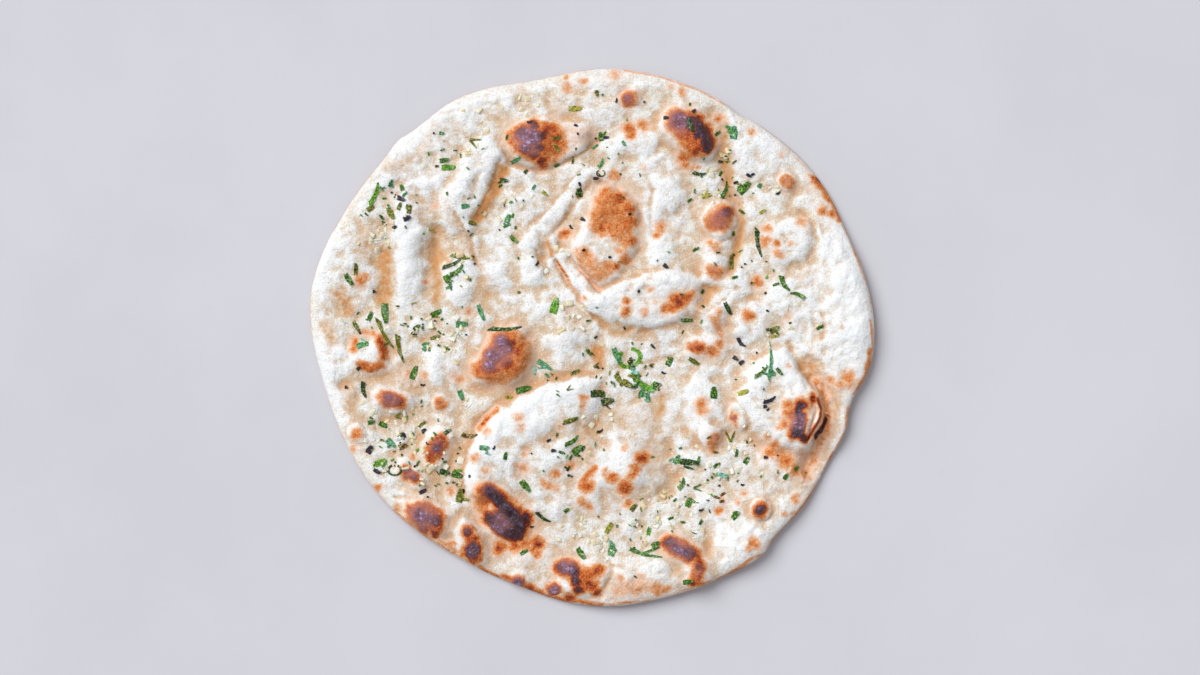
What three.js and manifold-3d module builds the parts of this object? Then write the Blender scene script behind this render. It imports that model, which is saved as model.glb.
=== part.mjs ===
// A large round garlic naan, lying flat. Sizes are in millimetres, +Z is up, and the origin is at the
// middle of the underside. The dough is one solid: a thin disc with an uneven outline, lifted into hollow
// steam pockets, blisters and folds, with chopped coriander and minced garlic stuck to its top.
import * as THREE from "three";
import { mergeVertices } from "three/addons/utils/BufferGeometryUtils.js";
import Module from "manifold-3d";

const wasm = await Module();
wasm.setup();

// Driving sizes of the dough.
const DOUGH_THICKNESS = 6.5; // flat dough between the pockets
const THINNEST_DOUGH = 3; // no hollow in the top goes deeper than this above the underside
const EDGE_HEIGHT = 2.4; // height of the outermost line of the edge above the underside
const EDGE_ROUND = 7; // width over which the top rounds down to the edge
const EDGE_UNDERCUT = 2.2; // how far the underside starts inside the outline
const REST_SHARE = 0.6; // share of the radius that lies flat, inside the rim that lifts
const TOP_CELLS = 57; // grid cells across the top
const UNDERSIDE_RINGS = [
  { share: 0.84, points: 72 },
  { share: REST_SHARE, points: 36 },
];

// The outline of the dough, anticlockwise from the right-hand side.
const OUTLINE = [
  [141.5, -1.5], [138.5, 24.5], [129, 49.5], [114, 79], [84, 106.5], [73, 112], [64, 119],
  [34, 131], [5, 134.5], [-26, 129.5], [-46, 126], [-66, 120.5], [-89.5, 103.5], [-97, 98.5],
  [-102, 92], [-120, 68.5], [-138, 34], [-141.5, 12], [-135, -21.5], [-121, -58], [-101, -85.5],
  [-71, -108], [-36, -125], [-1, -134.5], [34, -131], [69, -118.5], [86.5, -108], [90.5, -101.5],
  [107, -83.5], [119.5, -61], [122.5, -53.5], [127.5, -46], [129, -36], [131.5, -29.5], [138, -18],
];

// How a form falls away from its spine: t is 0 at the spine and 1 at its foot.
const dome = (t) => Math.sqrt(1 - t * t);
const swell = (t) => 1 - t * t;
const soft = (t) => (1 - t) * (1 - t) * (1 + 2 * t);

// Each form is raised fully over its area, or within its core along its spine, and falls away over its
// reach. Points are [x, y].
const POCKETS = [
  // The broad pocket of the south-west: three layers share its steep north-west side, and end one after
  // the other towards the south-east.
  {
    area: [
      [-59, -79], [-59.5, -66.5], [-57, -55.5], [-52, -46.5], [-46, -39], [-33.5, -32.5], [-18.5, -26.5],
      [-2, -24], [2, -33], [-4, -42], [2, -54], [4, -68], [-1, -81], [-16, -88], [-31, -84], [-51, -71],
    ],
    reach: 6, rise: 2.2, form: swell,
  },
  {
    area: [
      [-59, -79], [-59.5, -66.5], [-57, -55.5], [-52, -46.5], [-46, -39], [-33.5, -32.5], [-18.5, -26.5],
      [-2, -24], [-2, -34], [-14, -46], [-14, -64], [-26, -76], [-43, -72], [-51, -72],
    ],
    reach: 6, rise: 2, form: swell,
  },
  {
    area: [
      [-59, -76], [-59.5, -66.5], [-57, -55.5], [-52, -46.5], [-46, -39], [-33.5, -32.5], [-18.5, -26.5],
      [-4, -25], [-8, -32], [-24, -42], [-36, -52], [-44, -64], [-52, -72],
    ],
    reach: 6.5, rise: 2, form: swell,
  },
  // The charred pocket on its south-west corner, and the round one on its east side.
  {
    area: [[-57, -77.5], [-50, -76.5], [-41, -83], [-36, -91.5], [-38, -96.5], [-44, -95], [-51, -88.5]],
    reach: 6, rise: 5, form: swell,
  },
  { spine: [[17, -65.5]], core: 6, reach: 13, rise: 5, form: swell },
  // The right-hand pocket.
  {
    area: [
      [95.5, -10.5], [103, -19.5], [109, -30.5], [110, -44], [105, -52.5], [94, -49], [83, -41.5],
      [78, -31.5], [80, -22.5], [88, -15.5],
    ],
    reach: 7, rise: 6, form: swell,
  },
  { spine: [[102, -33], [105, -45]], core: 2, reach: 7, rise: 1.6, form: swell },
  { spine: [[94, -60]], core: 5, reach: 12, rise: 2, form: soft },
  // The north-west pocket, highest at its charred end.
  {
    area: [
      [-37.5, 95], [-38.5, 99.5], [-35.5, 103.5], [-29, 105], [-20, 105], [-11, 104], [-3, 102],
      [-6, 97], [-15, 92], [-24.5, 89], [-32.5, 90],
    ],
    reach: 5.5, rise: 4, form: swell,
  },
  { spine: [[-31, 97], [-26, 97.5]], core: 3, reach: 7, rise: 3, form: swell },
  // The northern pocket.
  {
    area: [
      [38, 106], [40, 110.5], [45, 112], [50, 110], [54, 104.5], [57, 97.5], [57, 92.5], [53, 92.5],
      [46, 96], [40, 101],
    ],
    reach: 6, rise: 5.5, form: swell,
  },
  { spine: [[30, 94], [49, 96]], core: 6, reach: 11, rise: 2, form: soft },
  { spine: [[10, 94], [26, 100]], core: 3, reach: 9, rise: 1.8, form: soft },
  // The tall round pocket left of the middle.
  {
    area: [
      [-57, -16.5], [-53, -7.5], [-48, 0.5], [-40, 2], [-35, -2.5], [-35, -11.5], [-38.5, -17.5],
      [-48.5, -19.5],
    ],
    reach: 5.5, rise: 8, form: dome,
  },
  // The flat-topped pocket right of the folds, and the long one below it.
  {
    area: [
      [8, 72.5], [16.5, 69.5], [20, 63.5], [20, 54.5], [16.5, 43.5], [12, 34.5], [5, 29.5], [-2, 36.5],
      [-7, 44.5], [-3.5, 52.5], [2, 61], [4, 68.5],
    ],
    reach: 5.5, rise: 5, form: swell,
  },
  {
    area: [
      [7, 17], [15, 22.5], [26.5, 25], [38, 24.5], [48, 23.5], [49, 18.5], [43, 14.5], [31.5, 11.5],
      [19, 10.5], [10, 12],
    ],
    reach: 6, rise: 6, form: swell,
  },
  // The upright pockets right of it.
  { spine: [[64.5, 58.5]], core: 3.5, reach: 7, rise: 5, form: swell },
  { spine: [[61, 33.5]], core: 3, reach: 6, rise: 3.6, form: swell },
  { spine: [[62, 46]], core: 4, reach: 7, rise: 2, form: swell },
  { spine: [[38, 76], [32.5, 61], [34, 46], [38, 32.5]], core: 4, reach: 8, rise: 3, form: soft },
  { area: [[90, 52.5], [99, 54.5], [105, 51], [104, 43.5], [94, 41]], reach: 7, rise: 3.5, form: swell },
  // The pillows of the right-hand side.
  { spine: [[60, 12.5], [71.5, 26]], core: 3, reach: 7, rise: 2.8, form: swell },
  { spine: [[60, 10], [63, -3]], core: 3, reach: 6, rise: 2, form: swell },
  { spine: [[52.5, -5]], core: 2, reach: 6, rise: 2.6, form: swell },
  { spine: [[79, 9]], core: 4, reach: 8, rise: 3, form: swell },
  { spine: [[98, 20]], core: 5, reach: 13, rise: 2.6, form: soft },
  { spine: [[126, 26], [131, 2]], core: 4, reach: 11, rise: 2.5, form: soft },
  { spine: [[54, -29], [60, -44]], core: 3.5, reach: 8, rise: 3, form: swell },
  { spine: [[84, 92]], core: 6, reach: 14, rise: 2.2, form: soft },
  { spine: [[78, -103]], core: 5, reach: 12, rise: 1.8, form: soft },
  // The soft ridges of the left-hand side.
  {
    area: [[-95, 63.5], [-88.5, 66], [-86, 56], [-88.5, 38.5], [-90, 21], [-95, 18.5], [-96, 38.5]],
    reach: 8, rise: 4.5, form: soft,
  },
  { spine: [[-76, 73.5]], core: 8, reach: 12, rise: 2.6, form: soft },
  { spine: [[-48.5, 89.5], [-52.5, 77.5], [-59.5, 62.5]], core: 2.5, reach: 6.5, rise: 5, form: swell },
  { spine: [[-67, 32.5], [-65, 24.5]], core: 4.5, reach: 6.5, rise: 3.5, form: swell },
  { spine: [[-48, 42], [-51, 28]], core: 3, reach: 9, rise: 1.8, form: soft },
  { spine: [[-111.5, -8.5]], core: 5, reach: 6.5, rise: 4, form: swell },
  { spine: [[-129, 0], [-128, -14]], core: 3, reach: 9, rise: 2, form: soft },
  { spine: [[-76, -4], [-80, -24]], core: 2.5, reach: 8, rise: 2.2, form: soft },
  { spine: [[-30, 20], [-22, 6]], core: 6, reach: 15, rise: 1.8, form: soft },
  { spine: [[-14, -4]], core: 6, reach: 12, rise: 2.5, form: soft },
  // The charred blisters of the south-west rim.
  { spine: [[-104, -30], [-96, -32.5]], core: 2, reach: 6, rise: 4, form: swell },
  { spine: [[-76, -51.5], [-79, -58.5]], core: 3, reach: 6, rise: 4, form: swell },
  { spine: [[-93, -65.5], [-87, -70.5]], core: 2, reach: 5.5, rise: 3, form: swell },
  { spine: [[-86, -87.5], [-79, -90.5]], core: 4, reach: 7, rise: 4.5, form: swell },
  { spine: [[-63, -97.5], [-59, -107.5]], core: 3, reach: 6, rise: 4, form: swell },
  { spine: [[-37, -122]], core: 2, reach: 5, rise: 2.5, form: swell },
  {
    area: [[-13, -114.5], [-3.5, -115.5], [5.5, -117.5], [3, -124], [-8.5, -126], [-15, -124.5]],
    reach: 5.5, rise: 3.6, form: swell,
  },
  { spine: [[16, -119], [32, -119]], core: 3, reach: 9, rise: 2, form: soft },
  { spine: [[41, -104], [51, -109.5], [52.5, -120.5]], core: 2.5, reach: 6, rise: 4, form: swell },
  // Small round blisters.
  { spine: [[84.5, -86]], core: 1.5, reach: 6, rise: 3.2, form: swell },
  { spine: [[59, -50]], core: 2, reach: 5.5, rise: 2.6, form: swell },
  { spine: [[72, -36], [73.5, -42]], core: 1.2, reach: 5, rise: 2.2, form: swell },
  { spine: [[98, 78]], core: 1.5, reach: 5.5, rise: 2.8, form: swell },
  { spine: [[19, 119.5]], core: 1.5, reach: 5, rise: 2.4, form: swell },
  { spine: [[-75.5, -32.5]], core: 1.2, reach: 5, rise: 2, form: swell },
  { spine: [[-118, -48]], core: 1.2, reach: 5, rise: 1.6, form: swell },
];

// Folds of loose skin, and the hollows and creases between the pockets.
const FOLDS = [
  {
    spine: [[0, 82.5], [-7, 75.5], [-16, 66], [-23.5, 58.5], [-32, 52.5], [-35.5, 44.5], [-34, 34.5]],
    core: 1.5, reach: 6, rise: 4.6, form: swell,
  },
  { spine: [[-15, 37.5], [-10, 28.5], [-7.5, 19.5], [-1, 12.5]], core: 1, reach: 5.5, rise: 2.6, form: swell },
  { spine: [[0, 74.5], [-7, 63.5], [-15, 51], [-23, 42]], core: 1.5, reach: 6.5, rise: -2.6, form: soft },
  { spine: [[-43.5, 84.5], [-49, 71], [-57, 57.5]], core: 1.5, reach: 6.5, rise: -3, form: soft },
  { spine: [[-77, 52], [-80, 24]], core: 2, reach: 8, rise: -2.2, form: soft },
  { spine: [[-106, 42], [-105, 14]], core: 2, reach: 9, rise: -2, form: soft },
  { spine: [[-126, 18]], core: 2, reach: 9, rise: -1.8, form: soft },
  { spine: [[-55, 26]], core: 2, reach: 8, rise: -1.6, form: soft },
  {
    spine: [
      [62, 112.5], [65, 101], [67.5, 88.5], [68.5, 73.5], [72, 60], [73, 48], [69.5, 33.5], [57, 18.5],
    ],
    core: 1.5, reach: 6.5, rise: -2.2, form: soft,
  },
  { spine: [[1, -10]], core: 2, reach: 8, rise: -2.4, form: soft },
  { spine: [[22, -6], [30, -20]], core: 5, reach: 11, rise: -1.8, form: soft },
  { spine: [[38, -52], [41, -70], [36, -80]], core: 1.5, reach: 7, rise: -2.4, form: soft },
  {
    spine: [[107, -15], [115, -25], [119, -35], [119, -44], [115, -56], [108, -65]],
    core: 2, reach: 7, rise: -2.8, form: soft,
  },
  { spine: [[60, -93], [56, -112]], core: 1, reach: 6, rise: -1.6, form: soft },
  { spine: [[-96, -50]], core: 6, reach: 14, rise: -1.2, form: soft },
  { spine: [[110, -34], [110.5, -45]], core: 1, reach: 4, rise: -2, form: soft },
];

// Stretches of the rim that lift off the table: dough and underside rise together.
const RIM_LIFTS = [
  { spine: [[136, 30], [141, 0], [130, -30]], core: 4, reach: 44, rise: 3.4, form: soft },
  { spine: [[92, -101], [60, -122], [20, -134]], core: 4, reach: 40, rise: 2.8, form: soft },
  { spine: [[-128, 52], [-112, 78], [-92, 101]], core: 4, reach: 42, rise: 3, form: soft },
  { spine: [[20, 133], [60, 121]], core: 4, reach: 38, rise: 2.2, form: soft },
  { spine: [[-112, -74], [-84, -100]], core: 4, reach: 34, rise: 1.8, form: soft },
];

// Chopped coriander: the largest shreds lie where they are named, as [x, y, length, width, turn in degrees].
const HERB_THICKNESS = 1;
const LARGE_SHREDS = [
  [90.5, -13, 16, 3, 82], [84, -16, 9, 2.4, 25], [-107.5, 71, 14, 3.4, 69], [-103, 2, 18, 2.6, -53],
  [-96, -6, 14, 2.6, -76], [-71, 37.5, 10, 3, 48], [84.5, 46, 13, 2, -80], [-18, 15.5, 8, 2.4, 80],
  [-34, -26.5, 8, 2.2, 15], [2.5, -28, 7, 3.4, 15], [11, -10, 8, 2.6, -70], [24, -21, 10, 3, -40],
  [96, 26, 9, 2, -50], [104, 22, 9, 2.6, -70], [67, 76, 9, 2.4, 72], [49, -63, 11, 3, 5],
  [-9.5, -51.5, 9.5, 2.2, 35], [-25.5, -91.5, 9, 2, -30], [29, -108, 10, 2.4, 5],
  [-60.5, -49.5, 9, 3, 0], [-32.5, -74.5, 8, 3.4, -65], [-101, -47, 9, 3.2, -32],
];

// The small shreds and the minced garlic lie in drifts: the middle and size of each, and what it holds.
const DRIFTS = [
  { x: -98, y: 64, spread: 10, shreds: 4, crumbs: 3 },
  { x: -112, y: 50, spread: 11, shreds: 1, crumbs: 4 },
  { x: -76, y: 5, spread: 12, shreds: 4, crumbs: 6 },
  { x: -100, y: -56, spread: 15, shreds: 6, crumbs: 8 },
  { x: -65, y: -74, spread: 9, shreds: 3, crumbs: 1 },
  { x: 27, y: -98, spread: 16, shreds: 3, crumbs: 6 },
  { x: 51, y: -80, spread: 14, shreds: 4, crumbs: 4 },
  { x: -8, y: -92, spread: 9, shreds: 1, crumbs: 3 },
  { x: 28, y: -24, spread: 8, shreds: 2, crumbs: 0 },
  { x: 62, y: 84, spread: 13, shreds: 4, crumbs: 3 },
  { x: -35, y: 117, spread: 10, shreds: 0, crumbs: 3 },
];
const SHRED_LENGTH = 6;
const SHRED_WIDTH = 2.6;
const GARLIC_SIZE = 1.5;
const SEED = 20417;

// A number from 0 to 1 each time it is called, the same row of numbers for the same seed.
function drawFrom(seed) {
  let state = seed;
  return () => {
    state = (state * 1103515245 + 12345) % 2147483648;
    return state / 2147483648;
  };
}

// Distance in plan from a point to the straight lines through a row of points.
function distanceToLine(x, y, points) {
  let nearest = Infinity;
  for (let i = 0; i < Math.max(1, points.length - 1); i++) {
    const [ax, ay] = points[i];
    const [bx, by] = points[Math.min(i + 1, points.length - 1)];
    const lengthSquared = (bx - ax) ** 2 + (by - ay) ** 2;
    const along = lengthSquared ? ((x - ax) * (bx - ax) + (y - ay) * (by - ay)) / lengthSquared : 0;
    const t = Math.min(1, Math.max(0, along));
    nearest = Math.min(nearest, Math.hypot(x - ax - t * (bx - ax), y - ay - t * (by - ay)));
  }
  return nearest;
}

// Whether a point is inside a closed row of points.
function isInside(x, y, points) {
  let inside = false;
  points.forEach(([ax, ay], i) => {
    const [bx, by] = points.at(i - 1);
    if (ay > y !== by > y && x < ((bx - ax) * (y - ay)) / (by - ay) + ax) inside = !inside;
  });
  return inside;
}

// The height that a list of forms adds at a point.
function raisedBy(forms, x, y) {
  let height = 0;
  for (const { area, spine, core = 0, reach, rise, form } of forms) {
    let distance = area ? distanceToLine(x, y, [...area, area[0]]) : distanceToLine(x, y, spine);
    if (area && isInside(x, y, area)) distance = 0;
    const t = Math.max(0, distance - core) / reach;
    if (t < 1) height += rise * form(t);
  }
  return height;
}

// The outline as a smooth closed curve, and its radius in any direction from the middle.
const outlineCurve = new THREE.CatmullRomCurve3(
  OUTLINE.map(([x, y]) => new THREE.Vector3(x, y, 0)), true, "centripetal");
const outlinePoints = outlineCurve.getPoints(720).slice(0, -1)
  .map((p) => ({ angle: Math.atan2(p.y, p.x), radius: Math.hypot(p.x, p.y) }))
  .sort((a, b) => a.angle - b.angle);

function outlineRadius(angle) {
  const next = outlinePoints.findIndex((p) => p.angle >= angle);
  const after = outlinePoints[Math.max(0, next)];
  const before = outlinePoints.at(next > 0 ? next - 1 : -1);
  const gap = (after.angle - before.angle + 2 * Math.PI) % (2 * Math.PI);
  const t = gap ? ((angle - before.angle + 2 * Math.PI) % (2 * Math.PI)) / gap : 0;
  return before.radius + t * (after.radius - before.radius);
}

// The height of the underside, which is flat but for the rim, and of the top.
function undersideHeight(x, y) {
  const share = Math.hypot(x, y) / outlineRadius(Math.atan2(y, x));
  return raisedBy(RIM_LIFTS, x, y) * THREE.MathUtils.smoothstep(share, REST_SHARE, 1);
}

function topHeight(x, y) {
  const inside = outlineRadius(Math.atan2(y, x)) - Math.hypot(x, y);
  const t = Math.min(1, Math.max(0, inside / EDGE_ROUND));
  const roundness = Math.sqrt(1 - (1 - t) * (1 - t));
  const dough = Math.max(THINNEST_DOUGH, DOUGH_THICKNESS + raisedBy(POCKETS, x, y) + raisedBy(FOLDS, x, y));
  return undersideHeight(x, y) + EDGE_HEIGHT + (dough - EDGE_HEIGHT) * roundness;
}

// The point of the disc that a point of the square from -1 to 1 stands for.
function squareToDough(u, v) {
  const dx = u * Math.sqrt(1 - (v * v) / 2);
  const dy = v * Math.sqrt(1 - (u * u) / 2);
  const radius = outlineRadius(Math.atan2(dy, dx));
  return [dx * radius, dy * radius];
}

// The dough: a grid on top, the edge rounded under, and the underside closed in rings to its flat middle.
function doughGeometry() {
  const vertices = [];
  const faces = [];
  const n = TOP_CELLS;
  const gridIndex = (i, j) => j * (n + 1) + i;
  for (let j = 0; j <= n; j++) {
    for (let i = 0; i <= n; i++) {
      const [x, y] = squareToDough((2 * i) / n - 1, (2 * j) / n - 1);
      vertices.push([x, y, topHeight(x, y)]);
    }
  }
  for (let j = 0; j < n; j++) {
    for (let i = 0; i < n; i++) {
      const [a, b, c, d] = [gridIndex(i, j), gridIndex(i + 1, j), gridIndex(i + 1, j + 1), gridIndex(i, j + 1)];
      // A cell is split along the diagonal that follows the folds. A corner cell is split towards the
      // middle, so that it has no flat triangle on the outline.
      const drop = (p, q) => Math.abs(vertices[p][2] - vertices[q][2]);
      const isCorner = (i === 0 || i === n - 1) && (j === 0 || j === n - 1);
      const splitAlongAC = isCorner ? (i === 0) === (j === 0) : drop(a, c) < drop(b, d);
      if (splitAlongAC) faces.push([a, b, c], [a, c, d]);
      else faces.push([a, b, d], [b, c, d]);
    }
  }
  let ring = [];
  for (let i = 0; i < n; i++) ring.push(gridIndex(i, 0));
  for (let j = 0; j < n; j++) ring.push(gridIndex(n, j));
  for (let i = n; i > 0; i--) ring.push(gridIndex(i, n));
  for (let j = n; j > 0; j--) ring.push(gridIndex(0, j));

  const underRing = ring.map((index) => {
    const [x, y] = vertices[index];
    const shrink = 1 - EDGE_UNDERCUT / Math.hypot(x, y);
    vertices.push([x * shrink, y * shrink, undersideHeight(x * shrink, y * shrink)]);
    return vertices.length - 1;
  });
  ring.forEach((a, k) => {
    const b = ring[(k + 1) % ring.length];
    const under = underRing[k];
    const underNext = underRing[(k + 1) % ring.length];
    faces.push([a, under, b], [b, under, underNext]);
  });

  ring = underRing;
  for (const { share, points } of UNDERSIDE_RINGS) {
    const inner = [];
    for (let k = 0; k < points; k++) {
      const angle = (2 * Math.PI * k) / points - Math.PI;
      const radius = share * outlineRadius(angle);
      const [x, y] = [radius * Math.cos(angle), radius * Math.sin(angle)];
      vertices.push([x, y, undersideHeight(x, y)]);
      inner.push(vertices.length - 1);
    }
    faces.push(...bandBetween(vertices, ring, inner));
    ring = inner;
  }
  faces.push(...bandBetween(vertices, ring, null));
  return geometryFrom(vertices, faces);
}

// Downward-facing triangles between an outer ring of vertices and the ring inside it, or its whole middle.
function bandBetween(vertices, outer, inner) {
  const flat = (ring) => ring.map((i) => new THREE.Vector2(vertices[i][0], vertices[i][1]));
  const indices = inner ? [...outer, ...inner] : outer;
  const contour = flat(outer);
  const hole = inner ? [flat(inner)] : [];
  return THREE.ShapeUtils.triangulateShape(contour, hole).map((face) => {
    const [a, b, c] = face.map((i) => vertices[indices[i]]);
    const area = (b[0] - a[0]) * (c[1] - a[1]) - (c[0] - a[0]) * (b[1] - a[1]);
    const [p, q, r] = face.map((i) => indices[i]);
    return area > 0 ? [p, r, q] : [p, q, r];
  });
}

function geometryFrom(vertices, faces) {
  const geometry = new THREE.BufferGeometry();
  geometry.setAttribute("position", new THREE.Float32BufferAttribute(vertices.flat(), 3));
  geometry.setIndex(faces.flat());
  return geometry;
}

// The height of the modelled top straight below a point.
const dough = doughGeometry();
const doughTop = new THREE.Mesh(dough, new THREE.MeshBasicMaterial());
const DOWN = new THREE.Vector3(0, 0, -1);

function surfaceHeight(x, y) {
  const ray = new THREE.Raycaster(new THREE.Vector3(x, y, 100), DOWN);
  return ray.intersectObject(doughTop)[0].point.z;
}

// A shred of leaf: a thin strip that follows the dough, half sunk in it.
const LONG_SHRED = 8;
function shredGeometry([x, y, length, width, turn]) {
  const angle = THREE.MathUtils.degToRad(turn);
  const [cos, sin] = [Math.cos(angle), Math.sin(angle)];
  const stations = length > LONG_SHRED ? 4 : 3;
  const vertices = [];
  const faces = [];
  for (let k = 0; k < stations; k++) {
    const share = (2 * k) / (stations - 1) - 1;
    const along = (share * length) / 2;
    const half = (width / 2) * (1 - 0.35 * share * share);
    const middle = surfaceHeight(x + along * cos, y + along * sin) + HERB_THICKNESS / 4;
    for (const [side, up] of [[-1, -1], [1, -1], [1, 1], [-1, 1]]) {
      vertices.push([
        x + along * cos - side * half * sin,
        y + along * sin + side * half * cos,
        middle + (up * HERB_THICKNESS) / 2,
      ]);
    }
  }
  const last = 4 * (stations - 1);
  faces.push([0, 3, 2], [0, 2, 1], [last, last + 1, last + 2], [last, last + 2, last + 3]);
  for (let k = 0; k < stations - 1; k++) {
    for (let side = 0; side < 4; side++) {
      const a = 4 * k + side;
      const b = 4 * k + ((side + 1) % 4);
      faces.push([a, b, b + 4], [a, b + 4, a + 4]);
    }
  }
  return geometryFrom(vertices, faces);
}

// A crumb of garlic: an uneven lump that sits half in the dough.
function crumbGeometry(x, y, draw) {
  const crumb = new THREE.IcosahedronGeometry(GARLIC_SIZE * (0.75 + 0.5 * draw()), 0);
  crumb.scale(1.2, 0.9, 0.7);
  crumb.rotateZ(2 * Math.PI * draw());
  crumb.translate(x, y, surfaceHeight(x, y) + GARLIC_SIZE * 0.2);
  return crumb;
}

// A closed three.js geometry as a solid that can be joined, and back again.
function toSolid(geometry) {
  const bare = geometry.clone();
  bare.deleteAttribute("normal");
  bare.deleteAttribute("uv");
  const merged = mergeVertices(bare, 1e-4);
  return new wasm.Manifold(new wasm.Mesh({
    numProp: 3,
    vertProperties: merged.attributes.position.array,
    triVerts: new Uint32Array(merged.index.array),
  }));
}

function toGeometry(solid) {
  const { vertProperties, triVerts } = solid.getMesh();
  const geometry = new THREE.BufferGeometry();
  geometry.setAttribute("position", new THREE.BufferAttribute(vertProperties, 3));
  geometry.setIndex(new THREE.BufferAttribute(triVerts, 1));
  geometry.computeVertexNormals();
  return geometry;
}

let naan = toSolid(dough);
for (const shred of LARGE_SHREDS) naan = naan.add(toSolid(shredGeometry(shred)));

const draw = drawFrom(SEED);
for (const drift of DRIFTS) {
  for (let k = 0; k < drift.shreds + drift.crumbs; k++) {
    const angle = 2 * Math.PI * draw();
    const distance = drift.spread * Math.sqrt(draw());
    const [x, y] = [drift.x + distance * Math.cos(angle), drift.y + distance * Math.sin(angle)];
    const topping = k < drift.shreds
      ? shredGeometry([x, y, SHRED_LENGTH * (0.8 + 0.5 * draw()), SHRED_WIDTH, 180 * draw()])
      : crumbGeometry(x, y, draw);
    naan = naan.add(toSolid(topping));
  }
}

const crust = new THREE.MeshStandardMaterial({ color: 0xf1e6d4, roughness: 0.72, metalness: 0 });
const naanMesh = new THREE.Mesh(toGeometry(naan), crust);
naanMesh.name = "naan";

const part = new THREE.Group();
part.name = "garlic_naan";
part.add(naanMesh);

export default part;
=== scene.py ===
import math
import random
from contextlib import contextmanager

import bpy
import numpy as np
from mathutils import Matrix, Vector, noise
from mathutils.bvhtree import BVHTree


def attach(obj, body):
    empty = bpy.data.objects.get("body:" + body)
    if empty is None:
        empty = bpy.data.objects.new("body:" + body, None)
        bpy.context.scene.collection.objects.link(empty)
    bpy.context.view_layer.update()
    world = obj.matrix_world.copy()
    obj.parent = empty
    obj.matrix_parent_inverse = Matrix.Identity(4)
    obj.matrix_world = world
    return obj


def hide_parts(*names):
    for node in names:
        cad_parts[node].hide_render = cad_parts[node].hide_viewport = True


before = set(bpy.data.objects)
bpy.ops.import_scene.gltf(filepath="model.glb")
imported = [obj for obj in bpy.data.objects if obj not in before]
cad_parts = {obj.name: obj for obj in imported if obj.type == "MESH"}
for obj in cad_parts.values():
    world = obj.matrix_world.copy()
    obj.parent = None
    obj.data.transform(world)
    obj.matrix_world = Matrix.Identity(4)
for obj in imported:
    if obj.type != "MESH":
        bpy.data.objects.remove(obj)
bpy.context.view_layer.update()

MM = 0.001

# ---------------------------------------------------------------------------------------------------
# Sizes of the bread, in millimetres, in the frame of the solid: the middle of the underside is 0, 0, 0.
# ---------------------------------------------------------------------------------------------------

EDGE_HEIGHT = 2.4
# Steps from the outline inwards over the rounded edge: how far in, and how far up or down.
UPPER_EDGE_STEPS = [(0.5, 1.4), (1.0, 1.1), (1.8, 0.9), (3.0, 0.7)]
LOWER_EDGE_STEPS = [(0.3, -1.0), (0.7, -0.9), (1.2, -0.5)]
OUTLINE_STEPS = 8
GRID_SPAN = 66
# Lumps of the top, and dimples of the underside, start and reach their full height this far from the rim.
CALM_RIM_OF_TOP = (1.5, 9)
CALM_RIM_OF_UNDERSIDE = (3, 10)
UNDERSIDE_SHARE_OF_FACES = 0.06
# The underside's scorch marks: how many, and how far from the middle they reach.
SCORCH_MARKS = 150
SCORCH_REACH = 132
# Rounds of averaging that tell a hollow from the ground around it.
HOLLOW_ROUNDS = 60
CREASE_ROUNDS = 8
# The length that a cutting of coriander is modelled at, before its copies get their own.
CUTTING_LENGTH = 6
# The height, in metres, that the loaf's surface is looked up from, straight down.
ABOVE_LOAF = 0.1
# Spots browner than this are burnt, and nothing is strewn on them.
BURNT = 0.8
# Dust and garlic keep inside an outline that is smaller by this.
STREWN_SHARE = 0.955
SEED = 20417

# The outline of the dough, anticlockwise from the right-hand side.
OUTLINE = [
    (141.5, -1.5), (138.5, 24.5), (129, 49.5), (114, 79), (84, 106.5), (73, 112), (64, 119), (34, 131),
    (5, 134.5), (-26, 129.5), (-66, 120.5), (-89.5, 103.5), (-97, 98.5), (-102, 92), (-120, 68.5),
    (-138, 34), (-141.5, 12), (-135, -21.5), (-121, -58), (-101, -85.5), (-71, -108), (-36, -125),
    (-1, -134.5), (34, -131), (69, -118.5), (86.5, -108), (90.5, -101.5), (107, -83.5), (119.5, -61),
    (127.5, -46), (129, -36), (131.5, -29.5), (138, -18),
]

# How a form falls away from where it is fully raised.
SOFT, DOMED, PUFFED, KEEN = "SMOOTH", "SPHERE", "INVERSE_SQUARE", "SHARP"


def ridge(core, reach, rise, fall, *spine):
    """A form fully raised within its core along its spine, and falling away over its reach."""
    return dict(spine=spine, core=core, reach=reach, rise=rise, fall=fall)


def plateau(reach, rise, fall, *area):
    """A form fully raised over its area, and falling away over its reach."""
    return dict(area=area, reach=reach, rise=rise, fall=fall)


def crease(reach, depth, *spine):
    """A sharp furrow pressed in along its spine."""
    return ridge(0.7, reach, -depth, KEEN, *spine)


# The steep side that the layers of the broad south-west pocket share.
SOUTH_WEST_SIDE = [
    (-59, -79), (-59.5, -66.5), (-57, -55.5), (-52, -46.5), (-46, -39), (-33.5, -32.5), (-18.5, -26.5),
]

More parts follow.
